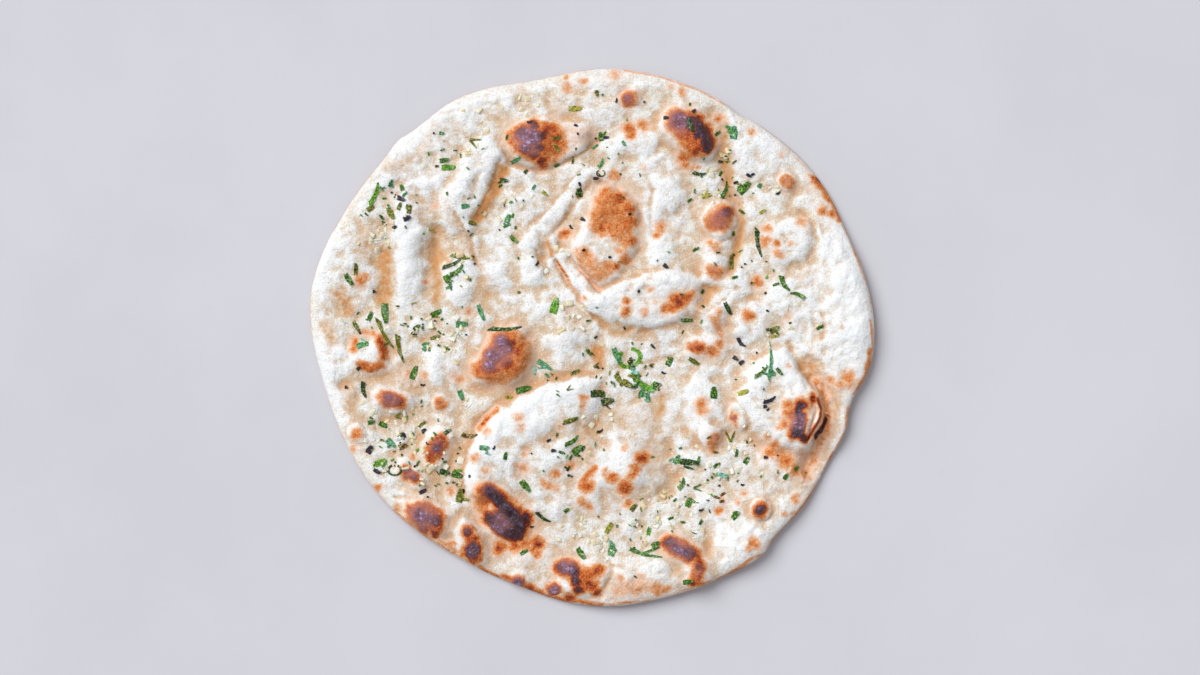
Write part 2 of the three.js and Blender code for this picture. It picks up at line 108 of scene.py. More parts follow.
# Broad forms are raised while the dough is coarse, middling ones after it has been divided once, and
# crisp ones last.
BROAD_FORMS = [
    ridge(6, 13, 5, PUFFED, (17, -65.5)),
    ridge(5, 12, 2, SOFT, (94, -60)),
    ridge(6, 11, 2, SOFT, (30, 94), (49, 96)),
    ridge(3, 9, 1.8, SOFT, (10, 94), (26, 100)),
    ridge(4, 8, 3, SOFT, (38, 76), (32.5, 61), (34, 46), (38, 32.5)),
    ridge(5, 13, 2.6, SOFT, (98, 20)),
    ridge(4, 11, 2.5, SOFT, (126, 26), (131, 2)),
    ridge(6, 14, 2.2, SOFT, (84, 92)),
    ridge(5, 12, 1.8, SOFT, (78, -103)),
    plateau(8, 4.5, SOFT, (-95, 63.5), (-88.5, 66), (-86, 56), (-88.5, 38.5), (-90, 21), (-95, 18.5),
        (-96, 38.5)),
    ridge(8, 12, 2.6, SOFT, (-76, 73.5)),
    ridge(3, 9, 1.8, SOFT, (-48, 42), (-51, 28)),
    ridge(3, 9, 2, SOFT, (-129, 0), (-128, -14)),
    ridge(2.5, 8, 2.2, SOFT, (-76, -4), (-80, -24)),
    ridge(6, 15, 1.8, SOFT, (-30, 20), (-22, 6)),
    ridge(6, 12, 2.5, SOFT, (-14, -4)),
    ridge(3, 9, 2, SOFT, (16, -119), (32, -119)),
    ridge(2, 8, -2.2, SOFT, (-77, 52), (-80, 24)),
    ridge(2, 9, -2, SOFT, (-106, 42), (-105, 14)),
    ridge(2, 9, -1.8, SOFT, (-126, 18)),
    ridge(2, 8, -1.6, SOFT, (-55, 26)),
    ridge(2, 8, -2.4, SOFT, (1, -10)),
    ridge(5, 11, -1.8, SOFT, (22, -6), (30, -20)),
    ridge(6, 14, -1.2, SOFT, (-96, -50)),
]
MIDDLING_FORMS = [
    # The broad pocket of the south-west: three layers share its steep side.
    plateau(6, 2.2, PUFFED, *SOUTH_WEST_SIDE, (-2, -24), (2, -33), (-4, -42), (2, -54), (4, -68), (-1, -81),
        (-16, -88), (-31, -84), (-51, -71)),
    plateau(6, 2, PUFFED, *SOUTH_WEST_SIDE, (-2, -24), (-2, -34), (-14, -46), (-14, -64), (-26, -76),
        (-43, -72), (-51, -72)),
    plateau(6.5, 2, PUFFED, *SOUTH_WEST_SIDE, (-4, -25), (-8, -32), (-24, -42), (-36, -52), (-44, -64),
        (-52, -72)),
    # The charred pocket on its south-west corner.
    plateau(6, 5, PUFFED, (-57, -77.5), (-50, -76.5), (-41, -83), (-36, -91.5), (-38, -96.5), (-44, -95),
        (-51, -88.5)),
    # The right-hand pocket.
    plateau(7, 6, PUFFED, (95.5, -10.5), (103, -19.5), (109, -30.5), (110, -44), (105, -52.5), (94, -49),
        (83, -41.5), (78, -31.5), (80, -22.5), (88, -15.5)),
    ridge(2, 7, 1.6, PUFFED, (102, -33), (105, -45)),
    # The north-west pocket, highest at its charred end.
    plateau(5.5, 4, DOMED, (-37.5, 95), (-38.5, 99.5), (-35.5, 103.5), (-29, 105), (-20, 105), (-11, 104),
        (-3, 102), (-6, 97), (-15, 92), (-24.5, 89), (-32.5, 90)),
    ridge(3, 7, 3, PUFFED, (-31, 97), (-26, 97.5)),
    # The northern pocket.
    plateau(6, 5.5, PUFFED, (38, 106), (40, 110.5), (45, 112), (50, 110), (54, 104.5), (57, 97.5),
        (57, 92.5), (53, 92.5), (46, 96), (40, 101)),
    # The tall round pocket left of the middle.
    plateau(5, 8, DOMED, (-57.5, -14.5), (-52.5, -11), (-49, -5), (-46, 0.5), (-40, 1), (-35.5, -3),
        (-34.5, -10.5), (-38, -17), (-46, -19.5), (-53, -19)),
    # The flat-topped pocket right of the folds, and the long one below it.
    plateau(5.5, 5, PUFFED, (8, 72.5), (16.5, 69.5), (20, 63.5), (20, 54.5), (16.5, 43.5), (12, 34.5),
        (5, 29.5), (-2, 36.5), (-7, 44.5), (-3.5, 52.5), (2, 61), (4, 68.5)),
    plateau(6, 4.8, DOMED, (-1, 17), (5, 19.5), (15, 24.5), (34, 28), (46, 28.5), (50, 25), (49.5, 18),
        (43, 12.5), (30, 9.5), (15, 12), (6, 14)),
    # The upright pockets right of it.
    ridge(3.5, 7, 5, DOMED, (64.5, 58.5)),
    ridge(3, 6, 3.6, DOMED, (61, 33.5)),
    ridge(4, 7, 2, PUFFED, (62, 46)),
    plateau(7, 3.5, PUFFED, (90, 52.5), (99, 54.5), (105, 51), (104, 43.5), (94, 41)),
    # The pillows of the right-hand side.
    ridge(3, 7, 2.8, PUFFED, (60, 12.5), (71.5, 26)),
    ridge(3, 6, 2, PUFFED, (60, 10), (63, -3)),
    ridge(2, 6, 2.6, PUFFED, (52.5, -5)),
    ridge(4, 8, 3, PUFFED, (79, 9)),
    ridge(3.5, 8, 3, PUFFED, (54, -29), (60, -44)),
    # The ridges of the left-hand side.
    ridge(5.5, 7.5, 4, PUFFED, (-52.5, 90), (-58, 77.5), (-66, 62)),
    ridge(4.5, 6.5, 3.5, PUFFED, (-67, 32.5), (-65, 24.5)),
    ridge(5, 6.5, 4, PUFFED, (-111.5, -8.5)),
    # The charred blisters of the south-west rim.
    ridge(2, 6, 4, PUFFED, (-104, -30), (-96, -32.5)),
    ridge(3, 6, 4, PUFFED, (-76, -51.5), (-79, -58.5)),
    ridge(2, 5.5, 3, PUFFED, (-93, -65.5), (-87, -70.5)),
    ridge(4, 7, 4.5, PUFFED, (-86, -87.5), (-79, -90.5)),
    ridge(3, 6, 4, PUFFED, (-63, -97.5), (-59, -107.5)),
    ridge(2, 5, 2.5, PUFFED, (-37, -122)),
    plateau(5.5, 3.6, PUFFED, (-13, -114.5), (-3.5, -115.5), (5.5, -117.5), (3, -124), (-8.5, -126),
        (-15, -124.5)),
    ridge(2.5, 6, 4, PUFFED, (41, -104), (51, -109.5), (52.5, -120.5)),
    # Folds of loose skin, and the hollows beside them.
    ridge(2.8, 4.4, 1.5, SOFT, (-3, 81), (-9, 74.5), (-15, 66.5), (-20.5, 58.5), (-26, 52), (-31, 47)),
    ridge(3, 3.4, 2.2, DOMED, (-30, 46), (-31, 38), (-30, 32)),
    ridge(1.2, 5, -2.4, SOFT, (-44.5, 84.5), (-50, 71), (-57, 59.5)),
    ridge(1.5, 6.5, -2.2, SOFT, (62, 112.5), (65, 101), (67.5, 88.5), (68.5, 73.5), (72, 60), (73, 48),
        (69.5, 33.5), (57, 18.5)),
    ridge(1.5, 7, -2.4, SOFT, (38, -52), (41, -70), (36, -80)),
    ridge(2, 7, -2.8, SOFT, (107, -15), (115, -25), (119, -35), (119, -44), (115, -56), (108, -65)),
    ridge(1, 6, -1.6, SOFT, (60, -93), (56, -112)),
]
CRISP_FORMS = [
    # Small round blisters.
    ridge(1.5, 4.5, 3.4, DOMED, (84.5, -86)),
    ridge(2, 4.5, 2.8, DOMED, (59, -50)),
    ridge(1.2, 3.8, 2.4, DOMED, (72, -36), (73.5, -42)),
    ridge(1.5, 4, 3, DOMED, (98, 78)),
    ridge(1.5, 3.6, 2.6, DOMED, (19, 119.5)),
    ridge(1.2, 3.8, 2.2, DOMED, (-75.5, -32.5)),
    ridge(1.2, 4, 1.8, DOMED, (-118, -48)),
    # The thin strip of skin between the two folds.
    ridge(1.4, 2.6, 1.8, DOMED, (-14, 41), (-8, 31), (-3, 24), (3, 18)),
    crease(2, 1.3, (-18, 38.5), (-13, 31), (-10.5, 25), (-5, 16), (0, 11), (6, 5)),
    crease(2.2, 1.5, (-16, 47), (-8.5, 37.5), (-2, 30), (4.5, 23)),
    # Creases at the feet of the pockets and folds.
    crease(2.6, 1.8, (-43.5, 92.5), (-40, 87.5), (-33, 84), (-24.5, 84), (-15, 87), (-5, 92.5),
        (2.5, 98.5)),
    crease(2.4, 1.3, (4, 78), (15, 73.5), (23, 67), (24.5, 57.5)),
    crease(2.2, 1.4, (4.5, 24), (14, 28.5), (24, 31)),
    crease(2.2, 0.8, (0, 11.5), (5, 7.5), (10, 3), (15, 2), (20, 4.5)),
    crease(2.2, 1.3, (72.5, 62.5), (73.5, 57.5), (70.5, 50.5), (65, 48.5)),
    crease(2.6, 1.5, (98, -2.5), (105, -14.5), (112, -24.5), (114.5, -31.5)),
    crease(2.4, 1.1, (-64, -81.5), (-64.5, -66.5), (-62, -55), (-57, -44), (-51, -35.5), (-40, -29.5),
        (-26, -24), (-16, -20), (0, -18.5)),
    crease(2, 1.3, (-98.5, -80), (-90, -80.5), (-80, -81), (-73.5, -83)),
    crease(2.2, 1, (10, -114.5), (8, -121.5), (4, -130)),
    crease(2.4, 1.6, (-46, 89.5), (-48.5, 80), (-54, 68), (-59.5, 58.5)),
    crease(2, 0.9, (-1, 76.5), (-7, 68.5), (-13, 60), (-18.5, 53.5), (-22.5, 50)),
    crease(2.2, 1.1, (-27.5, 44), (-26.5, 37), (-27.5, 33)),
    ridge(0.7, 2, 0.8, DOMED, (-20, 50), (-19, 43), (-20, 37)),
    crease(1.7, 0.9, (-5, 84), (-11, 77.5), (-18, 69), (-24, 61.5), (-33, 55)),
    crease(2.2, 1.3, (-69, 62), (-64, 54), (-60, 46), (-58, 37)),
    crease(2.2, 1.0, (30, 73.5), (30, 62), (31.5, 50)),
    crease(2.2, 1.4, (72.5, 64), (75, 58), (74.5, 50), (71, 40), (66, 30)),
    crease(2.4, 1.2, (72, 25), (66, 19), (58, 13)),
    crease(1.8, 0.8, (24, 3), (34, 5), (42, 8), (48, 12)),
    crease(1.8, 0.6, (52, -2), (40, -9), (26, -13), (12, -15)),
    crease(1.8, 0.8, (110, 12), (112, 4), (111, -2)),
    crease(1.8, 0.8, (115, 12), (116.5, 5), (115, -1)),
    crease(1.6, 0.45, (-76, 112), (-68.5, 113), (-61, 115.5)),
    crease(1.6, 0.35, (-56, 117.5), (-46, 116.5)),
    crease(2.4, 1, (105.5, 62.5), (110, 56), (112.5, 48.5)),
    # The torn corner of the right-hand pocket.
    crease(1.8, 2.4, (110, -30.5), (112, -36.5), (109.5, -42.5), (108, -51)),
    ridge(0.5, 1.7, 1.8, DOMED, (112.5, -31), (114, -36), (111.5, -42), (109.5, -49)),
    ridge(0.7, 1.6, -1.8, DOMED, (117.5, -40.5), (114.5, -44.5), (111.5, -50)),
    # Wrinkles of the burnt skin.
    ridge(0.5, 1.8, 1.3, DOMED, (-56, -74.5), (-48, -80.5), (-41, -89)),
    ridge(0.7, 1.6, -1, DOMED, (-55, -82), (-50, -86), (-46, -93)),
]

# Stretches of the rim that lift off the table.
RIM_LIFTS = [
    ridge(4, 44, 3.4, SOFT, (136, 30), (141, 0), (130, -30)),
    ridge(4, 40, 2.8, SOFT, (92, -101), (60, -122), (20, -134)),
    ridge(4, 42, 3, SOFT, (-128, 52), (-112, 78), (-92, 101)),
    ridge(4, 38, 2.2, SOFT, (20, 133), (60, 121)),
    ridge(4, 34, 1.8, SOFT, (-112, -74), (-84, -100)),
]


# ---------------------------------------------------------------------------------------------------
# Where the oven has browned the dough, where butter has soaked it and shade is painted into its folds, and
# where sheen is painted on
# ---------------------------------------------------------------------------------------------------

# Browned patches: the outline, how far the browning fades at its edge, and how brown.
TOASTED_AREAS = [
    # The north-west pocket, and the northern one.
    ([(-43.5, 103.5), (-40, 107.5), (-33.5, 109), (-23.5, 109.5), (-16, 107.5), (-12.5, 103.5), (-12, 97.5),
      (-12.5, 91.5), (-17, 86.5), (-25, 84.5), (-31, 86), (-37, 89.5), (-42, 93.5),
      (-44.5, 97.5)], 1.8, 0.5),
    ([(-13, 106.5), (2.5, 108.5), (2.5, 97), (-6, 92.5), (-16, 87), (-22, 85.5)], 2, 0.17),
    ([(36.5, 109.5), (40, 113.5), (45, 115.5), (50, 114.5), (54, 111), (58, 105.5), (60.5, 99.5),
      (60.5, 93.5), (58, 89.5), (53, 88.5), (48, 89.5), (45, 94.5), (40, 98.5), (36.5, 103.5)], 1.6, 0.55),
    # The flat-topped pocket, above and below its white gap.
    ([(0, 72), (6.5, 76), (15, 75), (22, 69), (24, 58), (21, 47), (17, 38), (14, 44), (8, 48.5), (0, 50),
      (-3, 56), (-2, 64)], 2.6, 0.45),
    ([(-9, 45.5), (-5, 47), (0, 45), (5, 39.5), (10, 37.5), (13, 34.5), (13, 31), (7, 27.5), (2.5, 24.5),
      (-3.5, 29.5), (-8.5, 35.5), (-11, 40.5)], 2.2, 0.34),
    # The tall round pocket.
    ([(-62, -13), (-58, -10.5), (-54.5, -6.5), (-53, -1), (-50, 3), (-45, 5), (-38.5, 5.5), (-33, 3),
      (-30, -1.5), (-29, -8), (-30, -14), (-33, -19), (-38, -22.5), (-45, -24.5), (-52, -24), (-58, -21.5),
      (-61.5, -17.5)], 1.9, 0.46),
    # The burnt corner of the broad pocket, and the blisters of the south-west rim.
    ([(-60, -75.5), (-56, -72.5), (-50, -72.5), (-43.5, -75.5), (-36, -80.5), (-31, -87.5), (-28.5, -94),
      (-28.5, -99), (-32.5, -104), (-41, -104), (-47.5, -99), (-53.5, -91.5), (-58, -84),
      (-61, -80)], 2.4, 0.44),
    ([(-94.5, -86.5), (-92, -82.5), (-87, -81), (-80, -81.5), (-74, -85.5), (-71.5, -89.5), (-73, -95.5),
      (-77, -100.5), (-81, -98.5), (-88.5, -95.5), (-93, -92)], 1.8, 0.66),
    ([(-84, -57.5), (-82.5, -51.5), (-79, -48), (-74.5, -47), (-71.5, -49.5), (-71, -54), (-73.5, -59),
      (-78, -63.5), (-82, -64), (-84, -61.5)], 1.3, 0.68),
    ([(-95, -64.5), (-92.5, -63), (-89, -65), (-85.5, -68.5), (-84.5, -71.5), (-90, -72.5), (-94.5, -73),
      (-95.5, -69)], 1.5, 0.68),
    ([(-109, -29.5), (-106, -25.5), (-101, -25.5), (-97.5, -27), (-94, -31.5), (-93, -34.5), (-97, -36),
      (-102, -36), (-107, -33.5)], 1.3, 0.62),
    ([(-65.5, -95.5), (-62, -93), (-58, -96.5), (-55.5, -101.5), (-54, -107.5), (-55, -112.5),
      (-60, -114.5), (-63.5, -111.5), (-64, -105.5), (-65, -100.5)], 1.3, 0.68),
    ([(-80, -33.5), (-78.5, -30), (-74.5, -29), (-71, -31), (-71, -34.5), (-74, -37),
      (-78, -36.5)], 1, 0.5),
    # The southern rim.
    ([(-18, -118.5), (-16, -113.5), (-11, -110.5), (-7, -112.5), (-4.5, -113.5), (5.5, -114), (7, -117.5),
      (2.5, -121.5), (4, -127.5), (-1, -129.5), (-8.5, -126.5), (-12.5, -122.5), (-17, -120)], 1.6, 0.56),
    ([(35, -101.5), (40, -101.5), (46.5, -104.5), (51, -105.5), (55, -109.5), (56, -116.5), (55, -122.5),
      (49, -126.5), (47, -121.5), (49, -114.5), (45, -112.5), (39, -108.5)], 1.6, 0.58),
    # The domes right of the middle.
    ([(55.5, 58.5), (58, 63.5), (63, 66.5), (68, 65.5), (72, 61.5), (72, 57.5), (70, 53.5), (65, 51.5),
      (59, 52), (56, 54.5)], 1.3, 0.52),
    ([(56, 35.5), (58, 37.5), (63, 37.5), (66.5, 35.5), (66.5, 31.5), (63, 28), (58.5, 28.5),
      (56, 31.5)], 1.3, 0.42),
    ([(94, 80.5), (97, 82.5), (101, 81.5), (102.5, 78), (101.5, 74.5), (98, 73), (94.5, 74.5),
      (93.5, 77.5)], 0.9, 0.54),
    ([(35, 12.5), (38, 18.5), (43, 22.5), (49, 24), (53.5, 23.5), (52.5, 19.5), (49, 15.5), (44, 12.5),
      (38, 10.5)], 1.8, 0.6),
    ([(46, -6.5), (48, -2.5), (52, -1), (55.5, -3.5), (56.5, -7.5), (54, -10), (49, -9)], 1.2, 0.6),
    ([(56.5, 12.5), (64, 13.5), (67.5, 6), (68, -0.5), (64, -3), (60, 1), (58, 7.5)], 2.4, 0.38),
    ([(80.5, -84.5), (82.5, -81.5), (86.5, -81), (89, -85.5), (88, -90.5), (84, -92.5),
      (81, -89.5)], 1.2, 0.66),
    ([(69, -34), (71.5, -37.5), (74.5, -44), (72.5, -46), (70, -42), (69, -37.5)], 1.2, 0.56),
    ([(56.5, -51.5), (59, -47), (63, -46.5), (65, -50), (63, -55), (58, -57.5), (56, -54.5)], 1.2, 0.48),
    # The north-eastern rim.
    ([(108, 82.5), (112, 81.5), (116, 77), (117, 71.5), (109, 76)], 1.6, 0.62),
    ([(111.5, 66), (115, 69), (120, 66), (123, 60.5), (119, 58.5), (112, 60.5)], 2.4, 0.32),
    # The right-hand pocket: its torn corner, and the slope south of it.
    ([(95.5, -31.5), (101.5, -33.5), (104, -30.5), (113, -29.5), (110, -36.5), (107, -44), (107, -51.5),
      (101.5, -49.5), (97, -44), (94, -37.5)], 2.2, 0.5),
    ([(85, -47.5), (91.5, -51.5), (99, -54), (104, -60.5), (104, -66.5), (99, -71.5), (93, -66.5),
      (87, -59)], 4, 0.4),
    # The pinkish rim, south, east and north.
    ([(10, -119), (24, -116.5), (38, -121.5), (42, -126.5), (29, -131.5), (9, -133.5),
      (4, -130.5)], 4, 0.24),
    ([(123, -17.5), (130, -18.5), (137, -17.5), (136, -24), (130, -29), (123, -29), (119, -24)], 4, 0.3),
    ([(-10, 131), (14, 134), (20, 124), (6, 124), (-10, 124)], 4, 0.12),
]

# Browned spots: x, y, radius, and how brown: 0.3 pale orange, 0.5 orange, 0.7 dark brown, 0.95 burnt.
TOASTED_SPOTS = [
    # The north-west pocket.
    (-21, 103.5, 5.5, 0.68), (-25, 87.5, 4, 0.76), (-34.5, 101.5, 5, 0.92), (-29, 100, 5.5, 0.94),
    (-33, 95.5, 4.6, 0.9), (-27, 95, 4, 0.86), (-24, 101, 3.6, 0.84), (-29, 105.5, 4, 0.82),
    (-29, 91.5, 3.4, 0.8), (-22, 95, 5, 0.58), (-18, 99, 4, 0.6), (-38, 94, 3.4, 0.5),
    # The northern pocket.
    (43.5, 108, 6, 0.9), (49, 106, 5, 0.9), (53, 108.5, 3.6, 0.8), (56, 102.5, 5, 0.86), (57, 97, 5, 0.86),
    (53, 101, 4.4, 0.86), (52, 93, 4, 0.68), (47, 100, 4, 0.66), (46, 90, 4.4, 0.52), (46.5, 85.5, 3, 0.44),
    (50, 84.5, 1.6, 0.4), (43.5, 88, 1.6, 0.36), (53.5, 84.5, 1.8, 0.4),
    # The northern rim.
    (19, 119, 4.4, 0.72), (17.5, 119.5, 2.6, 0.84), (18.5, 105, 4, 0.56), (19.5, 101, 3, 0.5),
    (25.5, 106, 3.2, 0.52), (11.5, 81, 3.4, 0.42), (26.5, 85, 2.2, 0.2), (-4.5, 128.5, 2.6, 0.36),
    (-12.5, 124.5, 3.6, 0.34), (-13, 130.5, 2.4, 0.36), (11.5, 131, 4.4, 0.28), (1.5, 122.5, 3, 0.16),
    (45, 123, 3, 0.4), (39, 125.5, 2.4, 0.3), (63.5, 110, 3.2, 0.44), (64, 104, 2, 0.3),
    (80, 103.5, 3, 0.32), (95, 92, 3, 0.2), (97, 79, 2.6, 0.36), (113.5, 79, 2.2, 0.84),
    (115.5, 63.5, 3, 0.46), (121, 62, 2.6, 0.56),
    # The upright pockets right of the middle.
    (67, 62, 4.6, 0.8), (63.5, 60.5, 5.4, 0.66), (64, 56, 4.5, 0.6), (62, 45, 4.4, 0.32),
    (59, 47, 2.6, 0.38), (59.5, 33, 2.6, 0.52), (34, 55, 4.2, 0.42), (33, 51.5, 3, 0.42),
    (104.5, 57.5, 3.4, 0.34), (88, 54, 3.6, 0.34), (86, 48, 4, 0.42), (92.5, 46.5, 2.2, 0.56),
    (93, 41.5, 3.6, 0.36), (99, 46.5, 2, 0.4), (82.5, 27.5, 3.6, 0.5), (78.5, 10.5, 3.4, 0.52),
    (98, 10, 3.6, 0.22),
    # The flat-topped pocket.
    (14, 69, 5, 0.64), (19, 64, 4, 0.56), (5, 54, 4.6, 0.58), (11, 62, 5, 0.54), (19.5, 58, 4.6, 0.56),
    (19.5, 48, 4, 0.54), (7, 72, 4, 0.5), (12, 52, 4.4, 0.5), (-4, 42, 4, 0.42), (8, 36, 3.4, 0.5),
    (17, 38.5, 3.8, 0.48), (13.5, 43.5, 3, 0.38), (-13.5, 52, 3.8, 0.52), (2, 31, 2.6, 0.46),
    (12, 35, 3, 0.54),
    # The long pocket.
    (17.5, 18, 2.6, 0.5), (17, 13, 3.2, 0.56), (26, 13, 3.2, 0.32), (29.5, 24, 3, 0.26),
    (31.5, 17.5, 2.2, 0.26), (43, 18, 5, 0.72), (-3.5, 19.5, 2, 0.3), (36.5, 14, 3, 0.52),
    # The tall round pocket.
    (-49, -9, 5.4, 0.92), (-45, -2, 5, 0.92), (-51, -14, 4.6, 0.88), (-43.5, -7, 4.6, 0.86),
    (-47, -15.5, 4.4, 0.68), (-41, -4, 4, 0.84), (-42, -13, 4.8, 0.76), (-37, -7, 4.4, 0.66),
    (-39, -16, 4.4, 0.6), (-56, -17, 4, 0.56),
    # The pillows of the right-hand side.
    (54.5, -5.5, 3.2, 0.74), (60.5, -7.5, 4, 0.5), (64, -3, 3, 0.46), (63, 12.5, 3, 0.4),
    (128, -19.5, 3.8, 0.46), (124, -24, 3.6, 0.38), (119.5, -21, 3, 0.34), (125, 5, 1.8, 0.26),
    (97.5, -14, 2, 0.24),
    # The left-hand side.
    (-116, 28.5, 4, 0.42), (-113, 30, 2.6, 0.36), (-83, 28.5, 2.6, 0.3), (-62, 13, 3.2, 0.36),
    (-79, 66, 3.2, 0.24), (-102, -30.5, 4.4, 0.82), (-97, -32, 4, 0.78), (-75.5, -32, 2, 0.62),
    (-66, -20.5, 3, 0.36), (-69.5, -18.5, 3.6, 0.2), (-118, -48, 3.6, 0.5), (-119.5, -56, 2.6, 0.4),
    (-77.5, -55, 4, 0.84), (-75.5, -50.5, 3, 0.66), (-89, -69.5, 3.2, 0.78), (-93, -66.5, 3, 0.76),
    (-107, -75, 2.8, 0.4), (-71, -77, 2.8, 0.4), (-90, -59.5, 2.2, 0.36), (-97.5, -85.5, 3, 0.36),
    (-85.5, -89, 6, 0.92), (-82, -90, 5, 0.9), (-78.5, -91, 5, 0.84), (-84, -95, 4, 0.76),
    (-78, -97.5, 3.4, 0.72), (-62, -97, 3.4, 0.84), (-59.5, -106, 5, 0.94), (-58, -100.5, 3, 0.72),
    (-71, -104, 3.2, 0.44), (-64, -108.5, 3, 0.5), (-46, -105.5, 4.4, 0.64), (-39, -104.5, 4.2, 0.6),
    (-27, -103, 4.4, 0.66), (-33, -104, 4, 0.52), (-27, -108.5, 3, 0.46), (-29.5, -106, 2.6, 0.56),
    (-92, -18, 2.6, 0.34), (-84, -20, 3, 0.32),
    # The burnt corner of the broad pocket.
    (-33.5, -91.5, 4.4, 0.9), (-39, -97, 5.4, 0.93), (-42, -92, 5, 0.9), (-46.5, -93.5, 4.6, 0.9),
    (-51, -90.5, 4.6, 0.84), (-55, -77, 4.4, 0.7), (-53, -83.5, 6, 0.58), (-45.5, -88.5, 4.6, 0.86),
    # The southern rim.
    (-37, -122.5, 3.8, 0.94), (-31, -125.5, 3, 0.66), (-14, -115, 4.6, 0.92), (-9.5, -116.5, 4.4, 0.94),
    (-8, -121.5, 3.8, 0.92), (-6.5, -126, 3, 0.86), (-19, -126.5, 3.4, 0.88), (-19, -126.5, 5, 0.55),
    (-1, -123.5, 5, 0.7), (2, -127.5, 3.4, 0.7), (-11, -131, 4, 0.68), (3, -116.5, 4, 0.62),
    (14, -120.5, 3, 0.32), (23, -126.5, 4, 0.34), (33, -126, 4.4, 0.42), (37, -125.5, 3, 0.4),
    (25, -119, 3, 0.24), (53.5, -114.5, 3.4, 0.78), (50, -122, 3.4, 0.7), (44, -106.5, 5, 0.5),
    (84, -86.5, 4, 0.95), (40, -103.5, 3.6, 0.82), (46.5, -107, 4.2, 0.82), (81, -103, 3.6, 0.46),
    (78.5, -105, 2.6, 0.34), (102.5, -80.5, 3, 0.4), (96.5, -88.5, 2.2, 0.34), (100.5, -87.5, 1.9, 0.32),
    (76, -77, 2.4, 0.3), (73, -82.5, 2.2, 0.34), (63.5, -87, 2.6, 0.46), (65.5, -82, 2.4, 0.34),
    (110, -70, 2.6, 0.3),
    # Right of the middle, and the right-hand pocket.
    (62.5, -49.5, 2.6, 0.56), (60, -55, 3, 0.5), (97.5, -33.5, 3.2, 0.56), (104, -33, 3, 0.62),
    (110, -30.5, 2.8, 0.66), (96, -43, 3, 0.56), (88, -49.5, 2.6, 0.36), (89, -58, 4, 0.52),
    (91, -54, 3, 0.5), (97, -62, 5, 0.5), (101.5, -66.5, 4, 0.48), (93, -45, 2.6, 0.36),
    (55.5, -36, 5, 0.34), (55, -33, 3.6, 0.46), (71.5, -40, 2.2, 0.66),
    # The broad pocket, and the round one on it.
    (25.5, -60, 4.4, 0.66), (21.5, -65.5, 3.6, 0.54), (19.5, -69, 3, 0.48), (10, -70, 3.6, 0.56),
    (7, -67.5, 2.4, 0.4), (17, -75, 5, 0.66), (18, -83.5, 3.4, 0.44), (17, -55.5, 2.6, 0.26),
    (-2.5, -74, 4.4, 0.58), (-0.5, -68, 2.6, 0.42), (-5, -82.5, 3.6, 0.4), (-1.5, -84.5, 2.8, 0.42),
    (-18, -68.5, 3, 0.46), (-10.5, -64, 3.4, 0.4), (-34, -65, 3.6, 0.34), (-38, -64, 2.4, 0.28),
    (-4, -30, 2.6, 0.48), (-4.5, -35, 2.8, 0.32), (-15.5, -44, 2.8, 0.34), (-58, -60.5, 3.2, 0.36),
    (-53, -66.5, 3.2, 0.3), (-36.5, -40, 3.6, 0.3), (-35.5, -45, 3, 0.3), (-52.5, -47, 4, 0.26),
    (-33.5, -59, 2.4, 0.3), (-39, -69, 2.2, 0.24),
]

# Browned streaks: the line, its half width, and how brown.
TOASTED_STREAKS = [
    ([(113, 78.5), (117, 73), (121, 66.5), (124.5, 59)], 2.2, 0.46),
    ([(53.5, 105.5), (56.5, 100), (57, 94.5)], 3.6, 0.92),
    ([(-50.5, -77.5), (-46.5, -81), (-40.5, -87.5), (-36, -95)], 4.4, 0.97),
    ([(-51, -90), (-45, -96), (-38, -100)], 4.2, 0.9),
    ([(-56, -115.5), (-38.5, -125.5), (-16, -132)], 1.8, 0.5),
    ([(39, -103), (44, -105.5), (49, -108.5)], 4.8, 0.84),
    ([(42, -104.5), (47, -107.5)], 3.2, 0.95),
    ([(104, -34), (103, -41.5), (101.5, -47.5)], 3.8, 0.95),
    ([(101.5, -47.5), (106, -51)], 2.6, 0.86),
    ([(117.5, -41), (115, -45), (112.5, -50)], 1.3, 0.95),
    ([(-5, -74.5), (-1, -68), (1, -65)], 2.4, 0.5),
    ([(-24.5, -72), (-21, -75), (-17, -75.5)], 2.2, 0.38),
    ([(-47, -35.5), (-52.5, -39), (-56.5, -46)], 1.6, 0.46),
    ([(-118.5, -1.5), (-119, -7)], 2.4, 0.52),
    ([(-114, 2.5), (-109, 2)], 2.2, 0.42),
    ([(-106.5, -1.5), (-104.5, -5), (-104, -9.5)], 3, 0.66),
    ([(-115, -13.5), (-110, -15.5), (-105, -13.5)], 2.6, 0.56),
    ([(-110, -9), (-107, -11)], 1.4, 0.34),
    ([(139.5, 8), (140.5, -4), (137.5, -17), (131.5, -29)], 1.2, 0.3),
    ([(139.5, -6), (136.5, -20), (133, -26)], 1.5, 0.42),
    ([(104, -58), (108, -62), (103, -68)], 4.2, 0.24),
    ([(52, -108), (55, -115), (53.5, -122)], 3.2, 0.62),
    ([(128.5, -36), (127, -46)], 1.6, 0.34),
    # Browning along the valley east of the right-hand pocket, which also stands in for the shade in that
    # valley.
    ([(113, -22), (117.5, -33), (118, -45), (113, -57), (106, -69)], 3.2, 0.36),
    ([(86.5, -107), (71.5, -117), (54, -125)], 1.1, 0.38),
    ([(4, -134), (30, -132.5)], 1.2, 0.28),
    ([(-100, -86.5), (-84, -98.5), (-70, -108)], 1.2, 0.34),
    ([(-76, -101), (-66, -110), (-52, -117)], 1.3, 0.36),
    ([(-44, -119.5), (-30, -127), (-14, -132)], 2.0, 0.52),
    ([(-14, -132), (4, -134)], 1.6, 0.5),
]
